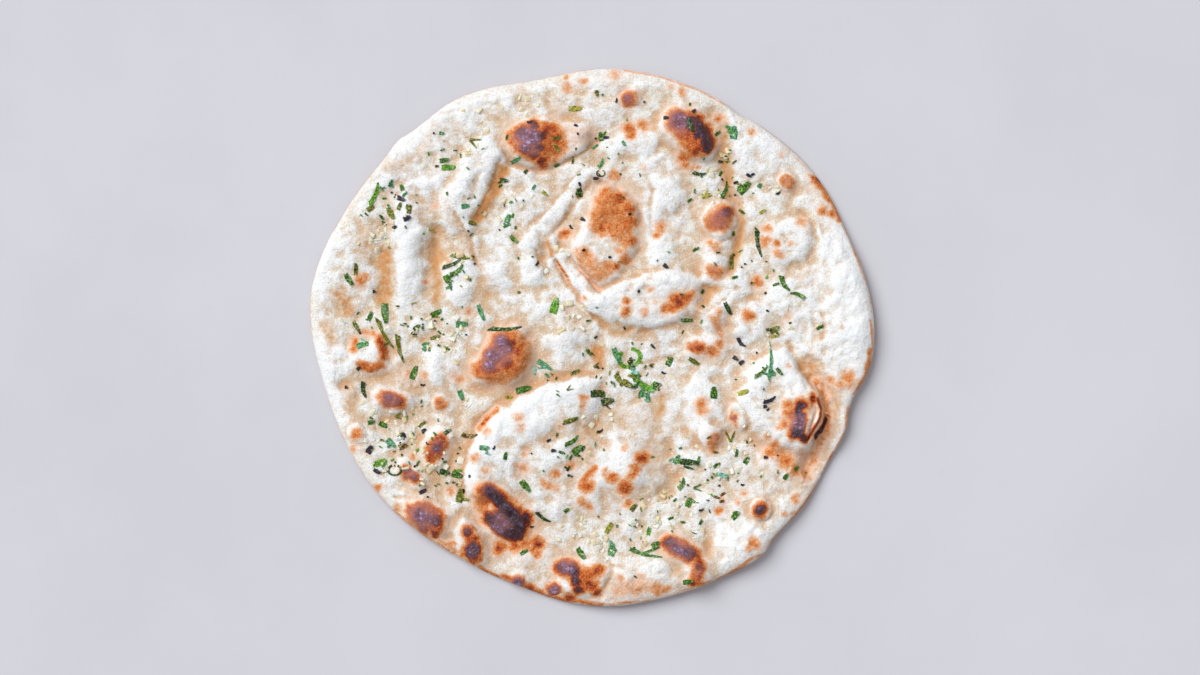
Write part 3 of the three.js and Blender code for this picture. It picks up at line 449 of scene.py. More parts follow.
# Thin browned edges of folds and of the rim.
TOASTED_LINES = [
    ([(112.5, -30.5), (114.5, -36), (113.5, -41), (110, -46), (107.5, -51.5)], 1.0, 0.74),
    ([(-52, -40.5), (-56, -44.5)], 0.6, 0.75),
    ([(-17.5, 38), (-13.5, 32), (-11.5, 28.5)], 0.7, 0.6),
    ([(-6, 33), (-3, 30), (2, 25), (5, 23.5)], 0.6, 0.3),
    ([(121, -58), (115, -71.5), (106.5, -84), (96.5, -96)], 1.2, 0.46),
    ([(16.5, 133.5), (34, 130.5), (54, 123.5), (66.5, 116.5)], 0.9, 0.26),
]

# Pale patches that the burning left out, and a violet sheen painted on burnt skin: x, y, radius, strength.
PALE_PATCHES = [
    (-51, -84, 2.5, 0.36), (-109.5, -9, 3, 0.65), (97.5, 77.5, 2, 0.25), (-13, -124, 2.6, 0.6),
    (58.5, -48.5, 1.6, 0.3), (106, -36.5, 1.6, 0.5),
]
PAINTED_VIOLET_SHEEN = [
    (-49, -9, 6.5, 1.35), (-44, -8, 5, 1.1), (-46, -1, 4, 1.1), (-51.5, -14, 3.5, 1.1), (-32, 99, 7, 1.1),
    (-28.5, 93, 3, 0.9), (42, 107.5, 7, 1.1), (50, 106, 4, 0.5), (-51, -77, 5, 0.7), (-46, -93, 7, 0.8),
    (102, -42, 5, 0.95), (72, -41, 3, 0.8), (60.5, -49, 3, 0.9), (-12, -114.5, 5, 0.95),
    (-19, -126.5, 3, 0.9), (-101, -30.5, 5, 0.8), (-85, -89, 8, 0.95), (44, -105.5, 8.5, 0.8),
    (53, -116, 5, 0.6), (-59.5, -106, 4, 0.7), (-62, -96, 3, 0.6), (-78, -54, 6, 0.55), (-92, -68, 4, 0.4),
    (-37, -122.5, 4, 0.85), (97.5, 77.5, 5, 0.5), (64, 59, 7, 0.75), (18, 119, 4, 0.8), (98, 78, 4, 0.6),
    (-90.5, -67.5, 5, 0.8), (-101, -31, 6, 0.8), (61, 33, 6, 0.6), (60, 5, 7, 0.5), (49, -4, 4, 0.5),
    (84, -86.5, 4, 0.5), (-75.5, -33, 5, 0.4),
]

# Tan along folds, valleys and the sides of pockets away from the light, partly butter soaked in and partly
# painted shade: the line, its half width, and how deep.
SOAKED_AND_SHADED_STREAKS = [
    ([(-44.5, 84.5), (-47, 77.5), (-50, 71), (-53.5, 65), (-58.5, 59.5)], 3.2, 1.1),
    ([(-103.5, 43.5), (-103.5, 31), (-104.5, 18.5)], 4.6, 0.85),
    ([(-110, 52), (-112, 46)], 9, 0.55),
    ([(-79.5, 49), (-79, 41), (-77.5, 31), (-78, 18.5)], 3.6, 0.75),
    ([(-76, 42.5), (-72.5, 37.5)], 3.6, 0.7),
    ([(-69.5, 60), (-64.5, 51), (-60, 43)], 3.2, 0.55),
    ([(-88, 62.5), (-84, 59)], 3.4, 0.47),
    ([(-73, 66), (-70, 60)], 4.2, 0.38),
    ([(-53.5, 28), (-54, 16)], 5.1, 0.47),
    ([(-126, 21), (-122, 14)], 6, 0.75),
    ([(-133, 6), (-130, -3)], 4.6, 0.55),
    ([(-121, -24), (-121, -34)], 5, 0.6),
    ([(-94, -17), (-88, -25)], 7, 0.6),
    ([(-104, 12), (-98, 4)], 5.1, 0.33),
    ([(-10, 104), (-2, 100), (1, 95)], 4.6, 0.42),
    ([(-103, 84.5), (-96, 86), (-84, 92)], 3.4, 0.42),
    ([(-78.5, 106), (-83.5, 96)], 3.4, 0.33),
    ([(-49, 110), (-41, 107)], 5.1, 0.42),
    ([(-21, 118), (-11, 111)], 6, 0.38),
    ([(-36, 123), (-30, 120)], 4.2, 0.33),
    ([(60, 110), (65, 106), (65.5, 98.5), (66, 88.5), (68, 78.5), (68, 68.5)], 4, 0.85),
    ([(75, 62.5), (75, 54.5), (74, 47.5), (71.5, 39.5), (68, 32.5)], 2.8, 0.8),
    ([(61.5, 24.5), (56.5, 18.5), (53, 12.5)], 3, 0.7),
    ([(73, 23.5), (70.5, 16)], 2, 0.38),
    ([(69, 3.5), (68, -6.5)], 2.5, 0.38),
    ([(20, 68), (24, 60), (22, 51), (17, 38)], 2, 0.38),
    ([(3, -8), (4, -13)], 4.5, 1.1),
    ([(6.5, 6), (14, 1), (20, 3.5)], 3.4, 0.47),
    ([(-14, 8), (-4, 7)], 6.8, 0.29),
    ([(35, -25.5), (35, -34), (31.5, -41.5)], 3, 0.7),
    ([(12, -38), (28, -42)], 8.5, 0.38),
    ([(-2, -44), (-2, -62)], 6, 0.6),
    ([(-14, -42), (-6, -44)], 5.1, 0.39),
    ([(31, -54), (33, -70), (27, -82)], 7, 0.42),
    ([(43, -64), (43, -70)], 2.2, 0.52),
    ([(108, -14), (112.5, -20), (117, -27), (119, -35), (118, -45), (115, -54), (110, -64),
      (105, -71)], 7, 0.8),
    ([(110, -20), (115.5, -31), (116.5, -44), (112, -57), (104, -68)], 3.6, 1.2),
    ([(104, 61), (110, 51)], 2.9, 0.47),
    ([(114, 6), (113, -0.5)], 3.8, 0.42),
    ([(105.5, 28.5), (108, 34.5)], 3.4, 0.38),
    ([(87, 9.5), (87, 4)], 2.5, 0.33),
    ([(-68, -46), (-68.5, -54), (-71, -66)], 2.5, 0.56),
    ([(-80, -68), (-76, -78)], 5.1, 0.47),
    ([(-95, -77), (-81, -80)], 2.2, 0.42),
    ([(-71, -91.5), (-73, -99)], 3.4, 0.47),
    ([(-53.5, -99), (-51, -107.5)], 2.5, 0.59),
    ([(-28.5, -91.5), (-27, -97.5)], 3.4, 0.52),
    ([(-36, -112), (-27, -115)], 6, 0.33),
    ([(-9, -100), (-8, -107)], 2.5, 0.38),
    ([(-18, -80), (-10, -88)], 7, 0.26),
    ([(14, 15), (22, 22)], 8, 0.16),
    ([(59, -99), (56.5, -109)], 3.4, 0.42),
    ([(8, -120), (7, -127)], 2.5, 0.47),
    ([(90.5, -84), (91, -90)], 2.5, 0.42),
    ([(74, -71), (84, -66)], 5.1, 0.23),
    ([(-26, 46), (-26, 35)], 1.8, 0.6),
    ([(-21, 48), (-20.5, 41)], 1.8, 1.0),
    ([(-6.5, 73.5), (-10, 67), (-14.5, 59.5), (-20, 54.5)], 1.9, 0.47),
    ([(-1, 79.5), (-4.5, 73.5)], 2.2, 0.52),
    ([(43.5, 66), (49, 66)], 3.4, 0.29),
]

# Where the dough stays floury and white: the line, its half width, and how white.
FLOURY_STREAKS = [
    ([(-133, 50), (-138, 28)], 8, 0.8),
    ([(-139, -6), (-134, -22), (-127, -38)], 8, 0.8),
    ([(-93, 54), (-92, 36), (-93, 18)], 6.5, 0.8),
    ([(-84, 78), (-76, 76)], 8, 0.64),
    ([(-98, 94), (-76, 109), (-52, 119)], 8, 0.6),
    ([(-70, 21), (-66, 30)], 6, 0.64),
    ([(-52, 92), (-60, 84)], 7, 0.4),
    ([(127, 50), (128, 30), (132, 10), (129, -12)], 13, 1.0),
    ([(112, 28), (108, 0)], 10, 0.56),
    ([(82, 97), (96, 86)], 9, 0.56),
    ([(84, 60), (90, 66)], 6, 0.4),
    ([(82, -14), (94, -12), (104, -24)], 9, 0.8),
    ([(70, -24), (76, -32)], 7, 0.64),
    ([(62, -98), (66, -106), (78, -98)], 9, 0.72),
    ([(12, -56), (8, -63)], 7, 0.64),
    ([(-54, -50), (-44, -44), (-26, -34), (-12, -28)], 7, 0.8),
    ([(-40, -56), (-28, -48)], 8, 0.48),
    ([(4, 17), (24, 21), (40, 25)], 5.5, 0.6),
    ([(-12, 20), (-14, 28)], 9, 0.48),
    ([(-22, -10), (-10, -8)], 8, 0.4),
    ([(33, 70), (31, 52), (34, 40)], 5, 0.72),
    ([(8, 104), (24, 98), (34, 90)], 9, 0.48),
    ([(-46, 62), (-48, 44), (-44, 24)], 8, 0.48),
    ([(90, 24), (100, 16)], 9, 0.48),
    ([(80, -2), (88, -6)], 6, 0.4),
    ([(-98, -77), (-92, -79)], 5, 0.72),
    ([(-62, -62), (-62.5, -78)], 3.5, 0.72),
    ([(-122, -12), (-126, -4)], 7, 0.4),
    ([(50, -30), (47, -44)], 6, 0.56),
    ([(94, -92), (92, -100)], 5, 0.56),
    ([(-6, 66), (-2, 58)], 3, 0.64),
    ([(-31, 52), (-34, 44), (-34, 34)], 2.4, 0.64),
    ([(-4, 80), (-12, 72), (-20, 62)], 2.2, 0.3),
    ([(14, -122), (20, -130)], 6, 0.32),
]

# ---------------------------------------------------------------------------------------------------
# What is scattered on the dough
# ---------------------------------------------------------------------------------------------------

# Shades of chopped coriander, along one scale from 0 to 1.
PALE, TEAL, BRIGHT, GREEN, DARK, OLIVE, YELLOW, BROWN = 0.0, 0.14, 0.29, 0.43, 0.57, 0.71, 0.86, 1.0

# Chopped coriander by its cut: x, y, length, turn in degrees, shade.
CORIANDER = {
    "strip": [
        (-73.5, 88.5, 5, 10, GREEN), (-77.5, 85.5, 2, 5, BROWN), (-110.5, 64.5, 4, 30, OLIVE),
        (-100.5, 77, 4, 60, TEAL), (-95, 75, 3.5, 110, GREEN), (-93.5, 71.5, 3.5, 50, TEAL),
        (-96, 65.5, 4, 70, OLIVE), (-101.5, 65.5, 2.5, 120, TEAL), (-100.5, 62, 6.5, -63, OLIVE),
        (-105, 60, 3, 135, GREEN), (-104, 57, 3, 130, DARK), (-80, 53.5, 3, -20, YELLOW),
        (-75, 102, 2.5, 0, TEAL), (-63, 65.5, 4, 10, TEAL), (-59.5, 57, 4, -15, OLIVE),
        (-8.5, 114.5, 6.5, 0, YELLOW), (2.5, 122, 3, -80, OLIVE), (-42.5, 100, 3, 75, GREEN),
        (-17.5, 99.5, 4, 10, OLIVE), (-17.5, 94.5, 4, -60, OLIVE), (-38, 88.5, 5.5, 25, TEAL),
        (-33, 83, 2.5, 50, DARK), (1.5, 95.5, 4, 35, TEAL), (-9.5, 88.5, 3.5, 85, DARK),
        (-17.5, 86, 3, 25, GREEN), (-29, 75, 3, 60, TEAL), (-23.5, 72, 3.5, -40, YELLOW),
        (-40.5, 67.5, 2, 30, TEAL), (-42.5, 56, 4, 25, TEAL), (-39, 49, 5, -45, GREEN),
        (16, 97, 3, -60, TEAL), (49, 106, 7.5, -72, DARK), (63, 102, 3.5, 40, GREEN),
        (68.5, 93.5, 2.5, 10, GREEN), (67.5, 89.5, 4, 110, OLIVE), (64.5, 82, 3, 60, GREEN),
        (84, 76, 2.5, 60, TEAL), (49, 68.5, 3, 40, GREEN), (57.5, 71, 5, 10, YELLOW),
        (75, 63, 3.5, -40, OLIVE), (85.5, 63, 3.5, 30, YELLOW), (71, 52, 2.5, 90, GREEN),
        (-118, 34, 6, 88, OLIVE), (-121.5, 29, 6.5, -58, GREEN), (-72, 28.5, 5.5, -63, GREEN),
        (-71.5, 25, 3.5, 20, TEAL), (-111, 10.5, 5, 70, GREEN), (-103.5, 12, 10, -85, GREEN),
        (-118, 5.5, 6, -61, OLIVE), (-87.5, 5, 4, 40, GREEN), (-78, 12, 6, 30, GREEN),
        (-65, 6.5, 6, 5, TEAL), (-55.5, 12.5, 8.5, -70, TEAL), (-78.5, 0, 5, 15, OLIVE),
        (-72.5, -5.5, 3, -30, GREEN), (-89, -17.5, 7, 70, GREEN), (-65.5, -29, 5, -72, TEAL),
        (-97, -39, 4, 30, YELLOW), (-18.5, 16, 8, 75, BRIGHT), (-36.5, 22.5, 1.5, 0, OLIVE),
        (2, 0, 2, 30, DARK), (12.5, -9, 8, -65, TEAL), (-22.5, -19, 2.5, -40, TEAL),
        (-34, -26, 8, 14, GREEN), (-41.5, -30, 3.5, 10, YELLOW), (-8.5, -17.5, 5, 24, OLIVE),
        (-10.5, -41.5, 7.5, 18, OLIVE), (21.5, -17.5, 4, -20, PALE), (30.5, -4.5, 3, -45, DARK),
        (52, 44, 3.5, 30, GREEN), (70, 37.5, 7, 88, OLIVE), (71.5, 30, 3, 20, GREEN),
        (55.5, 23, 2.5, 60, GREEN), (68, 14.5, 7, -63, DARK), (47.5, 8.5, 6, 0, GREEN),
        (92, 26.5, 3.5, 20, GREEN), (91.5, 0.5, 4, 10, YELLOW), (93.5, -17, 4.5, -50, GREEN),
        (61, -27.5, 6, 88, GREEN), (75.5, -27.5, 5.5, 20, YELLOW), (114, 5, 4, 30, GREEN),
        (51, -12, 6, -31, OLIVE), (-95.5, -49, 3.5, 50, DARK), (-94.5, -54.5, 4.5, 20, BROWN),
        (-85, -43.5, 4.5, 40, OLIVE), (-72, -47, 4, 35, DARK), (-87, -63, 3, 60, GREEN),
        (-43, -59, 4, 80, GREEN), (-15, -57.5, 3.5, -20, GREEN), (-10.5, -60, 3, 60, GREEN),
        (-33, -74.5, 7, -51, GREEN), (-12.5, -86.5, 3, 40, GREEN), (8.5, -95.5, 6, 60, YELLOW),
        (-34, -107.5, 4.5, 30, GREEN), (-5.5, -108, 6.5, -58, GREEN), (22, -107, 7, -20, GREEN),
        (32, -103.5, 4.5, 30, GREEN), (28.5, -97, 4.5, 80, BRIGHT), (39.5, -90.5, 3, 20, GREEN),
        (62.5, -64, 4, 30, GREEN), (65, -69, 6, -10, PALE), (72.5, -58, 4, 80, GREEN),
        (77.5, -61.5, 4, 60, GREEN), (62, -57.5, 2.5, 0, OLIVE), (54.5, -92.5, 3, 60, GREEN),
        (45.5, -92.5, 2.5, 0, GREEN), (65.5, -78.5, 3, 30, BROWN), (62.5, -80, 3, -20, BROWN),
        (65, -82, 2.5, 10, BROWN), (102.5, -65.5, 3, 30, GREEN), (97, -69.5, 3.5, 60, GREEN),
        (48, -122, 5, 10, GREEN),
    ],
    "curl": [
        (-108, 71.5, 12.5, 69, BRIGHT), (54, 81.5, 7, -5, DARK), (67, 73.5, 8, 68, GREEN),
        (83, 47, 15, -80, DARK), (-69.5, 36.5, 11, 25, DARK), (-64.5, 40, 12, -5, OLIVE),
        (-104, 1.5, 17.5, -61, OLIVE), (-96.5, -6, 14.5, -76, OLIVE), (-114.5, -26.5, 8.5, -80, DARK),
        (-43, 4, 17, 3, DARK), (96, 26.5, 9, -60, GREEN), (103, 21.5, 8, 160, GREEN),
        (85, -17.5, 9, 40, GREEN), (-61, -49.5, 8.5, 0, BROWN), (-9.5, -52, 8.5, 36, GREEN),
        (-24.5, -90.5, 9, -35, DARK), (45.5, -73.5, 6.5, 64, GREEN), (5, 87, 5, 60, TEAL),
        (89.5, -13, 16.5, 85, TEAL), (-67, 33, 9, 40, GREEN),
    ],
    "leaf": [
        (-71.5, 85, 7, 5, BRIGHT), (-91, 64, 4.5, 80, OLIVE), (-44, 78.5, 4.5, -5, DARK),
        (4.5, 100.5, 4.5, 100, GREEN), (-6, 72.5, 4.5, -75, DARK), (-42, 59.5, 4.5, 70, TEAL),
        (71, 102.5, 6.5, 85, TEAL), (76.5, 75, 7.5, 45, GREEN), (-114.5, -3.5, 6, 20, TEAL),
        (-83, -4.5, 5, 60, TEAL), (-1.5, -7.5, 3.5, -60, GREEN), (-23.5, -14, 8.5, -32, TEAL),
        (3, -28, 7, 5, DARK), (8, -32, 6.5, 15, DARK), (20, -13.5, 5, -50, DARK),
        (13.5, -21, 5.5, -60, OLIVE), (18, -23.5, 6.5, -30, OLIVE), (24, -22.5, 4.5, -40, BRIGHT),
        (28, -25.5, 7, -30, BRIGHT), (28, -30, 4.5, -70, TEAL), (32.5, -24, 5, 10, DARK),
        (39, -12, 5, 60, GREEN), (91.5, 4, 5.5, 30, OLIVE), (-110.5, -42.5, 3.5, 10, GREEN),
        (-104.5, -44, 4.5, -30, GREEN), (-100.5, -53, 5.5, -40, TEAL), (-53.5, -55, 5, 0, TEAL),
        (-105.5, -62.5, 6, 20, BRIGHT), (-73.5, -67.5, 5, -10, DARK), (-67.5, -69, 5.5, -20, GREEN),
        (-66, -79, 7, 80, OLIVE), (-7, -56, 6, 40, GREEN), (21, -85, 4.5, 50, OLIVE),
        (10, -106, 6.5, 80, TEAL), (49, -62.5, 9.5, -5, DARK), (42.5, -61, 5, 60, TEAL),
        (48.5, -82.5, 5, 70, GREEN), (72, -89, 5, 45, GREEN), (22.5, -20, 4.5, 30, GREEN),
        (25, -27.5, 4.5, 70, TEAL),
    ],
    "fork": [
        (-58.5, 97.5, 6, -30, OLIVE), (2.5, -14.5, 3.5, 10, OLIVE), (-11, -25.5, 3.5, 30, OLIVE),
        (30, -108, 11, 5, GREEN), (69.5, -49.5, 6, 90, OLIVE), (53, -75.5, 4.5, 0, GREEN),
        (8, -33.5, 5, -20, BROWN), (88.5, -17, 7, 150, TEAL),
    ],
    "ring": [
        (19, -10.5, 11, 20, BRIGHT), (-98.5, -66.5, 6.5, 0, DARK), (4.5, 82, 4, 0, BROWN),
    ],
}

# Flakes of coriander burnt black in the oven: x, y, length, turn.
BURNT_FLAKES = [
    (-96, 69.5, 6, -25), (-92, 59.5, 4, 20), (-98.5, 55, 2.5, 30), (-31, 107.5, 3, 15), (-8, 106, 2, -20),
    (7, 100, 3, 5), (2, 79.5, 3, 0), (-6, 76.5, 2.5, -70), (-4.5, 59, 2.6, -30), (-10.5, 55, 2.6, -50),
    (51, 113, 2.5, 45), (64.5, 88, 2.5, 0), (72, 77.5, 2.5, 20), (78.5, 81, 3, -30), (80.5, 81.5, 2, 20),
    (93.5, 72, 2.5, 30), (-109, 23, 1.5, 0), (-89, 1.5, 3, -20), (-84.5, -24, 2.5, 0), (-123, -25, 1.5, 0),
    (-116.5, -15.5, 2.5, 45), (-27, 37, 3, 65), (37, 35.5, 3, -38), (36, -18, 2.6, -20), (74.5, -3, 6, -48),
    (75, -12.5, 3, 40), (72, -10.5, 3, -30), (89, -31.5, 7, 25), (86.5, -34.5, 2, 0), (88, -36, 2, 40),
    (-111, -56, 4.5, 60), (-48.5, -55, 2.2, 60), (-107.5, -67, 4, -30), (-84.5, -77, 4, 25),
    (-21.5, -51.5, 2.5, 30), (-19, -56.5, 2.5, 0), (4.5, -47, 3, 30), (-12, -66, 2, 60),
    (-11.5, -69, 1.6, 0), (-30, -95, 2, 0), (55, -86.5, 2.5, 20), (75.5, -74, 2, 0), (87, -60, 2, 0),
    (37, 109.5, 2.6, 5), (12.5, 118.5, 2.6, 80), (9, 40, 1.6, 0), (-4, 43.5, 1.6, 20), (19, 61.5, 1.8, 10),
    (23.5, 23, 1.6, 70), (-64.5, -77, 2.4, 70), (-94, -49, 3, 110), (-84, -46.5, 2.6, 40),
]

# Drifts of minced garlic: x, y, spread, how many.
GARLIC_DRIFTS = [
    (-108.5, 53.5, 16, 28), (-33.5, 121, 10, 12), (-60, 110, 12, 8), (-123.5, 7, 4, 4),
    (-73.5, 4.5, 14, 30), (-110, -36.5, 5, 4), (-95, -50, 13, 24), (-78, -64, 13, 24), (-104, -66, 7, 9),
    (-6, 8.5, 12, 12), (5, -104, 9, 14), (-8.5, -95, 10, 12), (37, -89, 18, 26), (30, -100, 10, 10),
    (92, 74.5, 4, 4), (56.5, 71, 8, 7), (-61, -33, 5, 4), (78, -55, 12, 9), (-58, 93, 10, 7),
    (62, -62, 12, 12), (0, -45, 20, 10), (90, 5, 14, 7), (-40, 66, 12, 6), (-66, 38, 10, 8),
    (58, 88, 10, 7), (-20, 40, 10, 4),
]
# Slivers of garlic: x, y, length, turn.
GARLIC_SLIVERS = [
    (-68.5, 0.5, 8, 27), (-76, -46.5, 7, 20), (-102, -66.5, 5, 60), (84, 58, 6, 50), (-70, 12, 5, -30),
    (-107, 49, 5, 15), (-97, -73, 5, -20), (42, -90, 5, 35), (-62, -58, 5, 80), (52, -100, 4, 10),
]
# Drifts of coriander dust: x, y, spread, how many.
DUST_DRIFTS = [
    (-98, 66, 16, 14), (-72, 92, 16, 6), (-62, 62, 12, 6), (-66, 30, 12, 7), (-100, 6, 16, 15),
    (-76, 6, 14, 12), (-92, -50, 17, 26), (-74, -66, 14, 16), (18, -18, 17, 18), (-10, -55, 16, 13),
    (-12, -28, 14, 6), (66, 78, 14, 13), (6, 90, 16, 10), (92, 22, 14, 8), (86, -16, 14, 5),
    (58, -70, 18, 15), (20, -100, 22, 14), (44, -86, 14, 8), (-40, 60, 14, 7), (72, 38, 10, 6),
    (40, 10, 26, 7), (95, -62, 14, 6), (0, 40, 40, 8), (20, 118, 40, 5),
]


# ---------------------------------------------------------------------------------------------------
# Hand tools
# ---------------------------------------------------------------------------------------------------

def deselect_all():
    if bpy.context.object and bpy.context.object.mode != "OBJECT":
        bpy.ops.object.mode_set(mode="OBJECT")
    bpy.ops.object.select_all(action="DESELECT")


def make_active(obj):
    deselect_all()
    obj.select_set(True)
    bpy.context.view_layer.objects.active = obj


@contextmanager
def editing():
    """Edit mode, for as long as the block lasts."""
    bpy.ops.object.mode_set(mode="EDIT")
    yield
    bpy.ops.object.mode_set(mode="OBJECT")


def pick_by(kind):
    """Whether vertices, edges or faces are picked in edit mode."""
    bpy.context.tool_settings.mesh_select_mode = [kind == each for each in ("VERTEX", "EDGE", "FACE")]


def join_into(first, others):
    make_active(first)
    for other in others:
        other.select_set(True)
    bpy.ops.object.join()
    return first


def apply_modifier(obj, kind, **settings):
    make_active(obj)
    modifier = obj.modifiers.new(kind.title(), kind)
    for name, value in settings.items():
        setattr(modifier, name, value)
    bpy.ops.object.modifier_apply(modifier=modifier.name)


def divide(obj, times):
    apply_modifier(obj, "SUBSURF", levels=times, render_levels=times)


def vertex_places(obj):
    """Every vertex's place, in millimetres."""
    places = np.empty(len(obj.data.vertices) * 3)
    obj.data.vertices.foreach_get("co", places)
    return places.reshape(-1, 3) / MM


def distance_to_line(places, points):
    """Distance in plan from each place to the straight lines through a row of points."""
    plan = places[:, :2]
    nearest = np.full(len(plan), np.inf)
    ends = list(zip(points, points[1:])) or [(points[0], points[0])]
    for start, end in ends:
        start, along = np.array(start, float), np.subtract(end, start).astype(float)
        share = np.clip((plan - start) @ along / max(along @ along, 1e-9), 0, 1)
        nearest = np.minimum(nearest, np.linalg.norm(plan - start - share[:, None] * along, axis=1))
    return nearest


def distance_to_ring(places, points):
    """The same for a closed row of points."""
    return distance_to_line(places, [*points, points[0]])


def is_inside(places, points):
    """Whether each place is inside a closed row of points, in plan."""
    x, y = places[:, 0], places[:, 1]
    inside = np.zeros(len(places), bool)
    for (ax, ay), (bx, by) in zip(points, [*points[1:], points[0]]):
        crosses = (ay > y) != (by > y)
        inside ^= crosses & (x < (bx - ax) * (y - ay) / ((by - ay) or 1e-9) + ax)
    return inside


def smooth_step(low, high, values):
    share = np.clip((values - low) / (high - low), 0, 1)
    return share * share * (3 - 2 * share)


def away_from_rim(obj, calm_rim):
    """0 for vertices nearer to the rim than the first distance, and 1 for those past the second."""
    return smooth_step(*calm_rim, distance_to_ring(vertex_places(obj), OUTLINE))


def select_vertices(obj, picked):
    mesh = obj.data
    mesh.edges.foreach_set("select", np.zeros(len(mesh.edges), bool))
    mesh.polygons.foreach_set("select", np.zeros(len(mesh.polygons), bool))
    mesh.vertices.foreach_set("select", picked)


def weigh_vertices(obj, name, weights):
    """A vertex group with a weight for every vertex, in a hundred steps."""
    group = obj.vertex_groups.new(name=name)
    steps = np.round(np.clip(weights, 0, 1) * 100).astype(int)
    for step in np.unique(steps):
        group.add(np.flatnonzero(steps == step).tolist(), step / 100, "REPLACE")


def store_values(obj, name, values):
    attribute = obj.data.attributes.new(name, "FLOAT", "POINT")
    attribute.data.foreach_set("value", np.asarray(values, dtype=np.float32))


# ---------------------------------------------------------------------------------------------------
# The dough
# ---------------------------------------------------------------------------------------------------

def dough_outline(name):
    """A curve round the outline of the dough, made a ring of edges at the height of its edge."""
    deselect_all()
    bpy.ops.curve.primitive_bezier_circle_add(radius=100 * MM, location=(0, 0, EDGE_HEIGHT * MM))
    outline = bpy.context.object
    outline.name = name
    spline = outline.data.splines[0]
    spline.bezier_points.add(len(OUTLINE) - len(spline.bezier_points))
    for point, (x, y) in zip(spline.bezier_points, OUTLINE):
        point.co = (x * MM, y * MM, 0)
        point.handle_left_type = "AUTO"
        point.handle_right_type = "AUTO"
    outline.data.resolution_u = OUTLINE_STEPS
    bpy.ops.object.convert(target="MESH")
    bpy.ops.object.transform_apply(location=True, rotation=True, scale=True)
    return outline


def dough_sheet(name, edge_steps):
    """One side of the dough: its rounded edge, and the sheet inside it as a grid."""
    sheet = dough_outline(name)
    with editing():
        bpy.ops.mesh.select_all(action="SELECT")
        bpy.ops.mesh.remove_doubles(threshold=0.01 * MM)
        bpy.ops.mesh.select_all(action="SELECT")
        bpy.ops.mesh.edge_face_add()
        pick_by("FACE")
        for inwards, upwards in edge_steps:
            bpy.ops.mesh.inset(thickness=inwards * MM, depth=0, use_even_offset=True)
            bpy.ops.transform.translate(value=(0, 0, upwards * MM))
        bpy.ops.mesh.delete(type="ONLY_FACE")
    heights = vertex_places(sheet)[:, 2]
    inner_height = heights.max() if edge_steps[0][1] > 0 else heights.min()
    select_vertices(sheet, np.abs(heights - inner_height) < 0.01)
    with editing():
        # By way of vertices, the edges between the picked ones are picked too.
        pick_by("VERTEX")
        pick_by("EDGE")
        bpy.ops.mesh.fill_grid(span=GRID_SPAN)
    return sheet


def raise_form(dough, form, places):
    """Pull one form up out of the dough, or press it in, with proportional editing."""
    if "area" in form:
        picked = is_inside(places, form["area"])
    else:
        distance = distance_to_line(places, form["spine"])
        picked = distance <= max(form["core"], distance.min() + 0.01)
    select_vertices(dough, picked)
    with editing():
        bpy.ops.transform.translate(
            value=(0, 0, form["rise"] * MM), use_proportional_edit=True,
            proportional_edit_falloff=form["fall"], proportional_size=form["reach"] * MM)


def raise_forms(dough, forms):
    """Raise forms on one open side of the dough, with its outline hidden, which holds it still."""
    make_active(dough)
    pick_by("VERTEX")
    with editing():
        bpy.ops.mesh.select_all(action="DESELECT")
        bpy.ops.mesh.select_non_manifold()
        bpy.ops.mesh.hide(unselected=False)
    places = vertex_places(dough)
    for form in forms:
        raise_form(dough, form, places)
    with editing():
        bpy.ops.mesh.reveal(select=False)


def roughen(obj, name, size, height, group, direction="Z", level=0.5):
    """Natural unevenness: lumps of one size and height, as far as a vertex group lets them."""
    lumps = bpy.data.textures.new(name, "CLOUDS")
    lumps.noise_scale = size * MM
    apply_modifier(
        obj, "DISPLACE", texture=lumps, texture_coords="LOCAL", direction=direction, mid_level=level,
        strength=height * MM, vertex_group=group)


def soften(obj, share):
    apply_modifier(obj, "SMOOTH", factor=share, vertex_group="inner_top")


def make_top():
    top = dough_sheet("naan_loaf", UPPER_EDGE_STEPS)
    raise_forms(top, BROAD_FORMS)
    divide(top, 1)
    raise_forms(top, MIDDLING_FORMS)
    divide(top, 1)
    weigh_vertices(top, "inner_top", away_from_rim(top, CALM_RIM_OF_TOP))
    roughen(top, "puffs", size=26, height=1.5, group="inner_top")
    roughen(top, "lumps", size=9, height=2.2, group="inner_top")
    soften(top, 0.5)
    raise_forms(top, CRISP_FORMS)
    top.vertex_groups.clear()
    return top


def make_underside():
    """The underside: flat where it rests, dimpled upwards all over, and of fewer faces than the top."""
    underside = dough_sheet("naan_underside", LOWER_EDGE_STEPS)
    divide(underside, 2)
    weigh_vertices(underside, "dimples", away_from_rim(underside, CALM_RIM_OF_UNDERSIDE))
    roughen(underside, "underside_dimples", size=9, height=1.6, group="dimples", level=0.1)
    # The rim keeps its vertices near the corners of the outline, and there it is sewn to the top. Some of
    # those between the corners go, which leaves slits about a tenth of a millimetre wide.
    select_vertices(underside, distance_to_ring(vertex_places(underside), OUTLINE) > 0.25)
    pick_by("VERTEX")
    with editing():
        bpy.ops.mesh.decimate(ratio=UNDERSIDE_SHARE_OF_FACES)
    underside.vertex_groups.clear()
    return underside


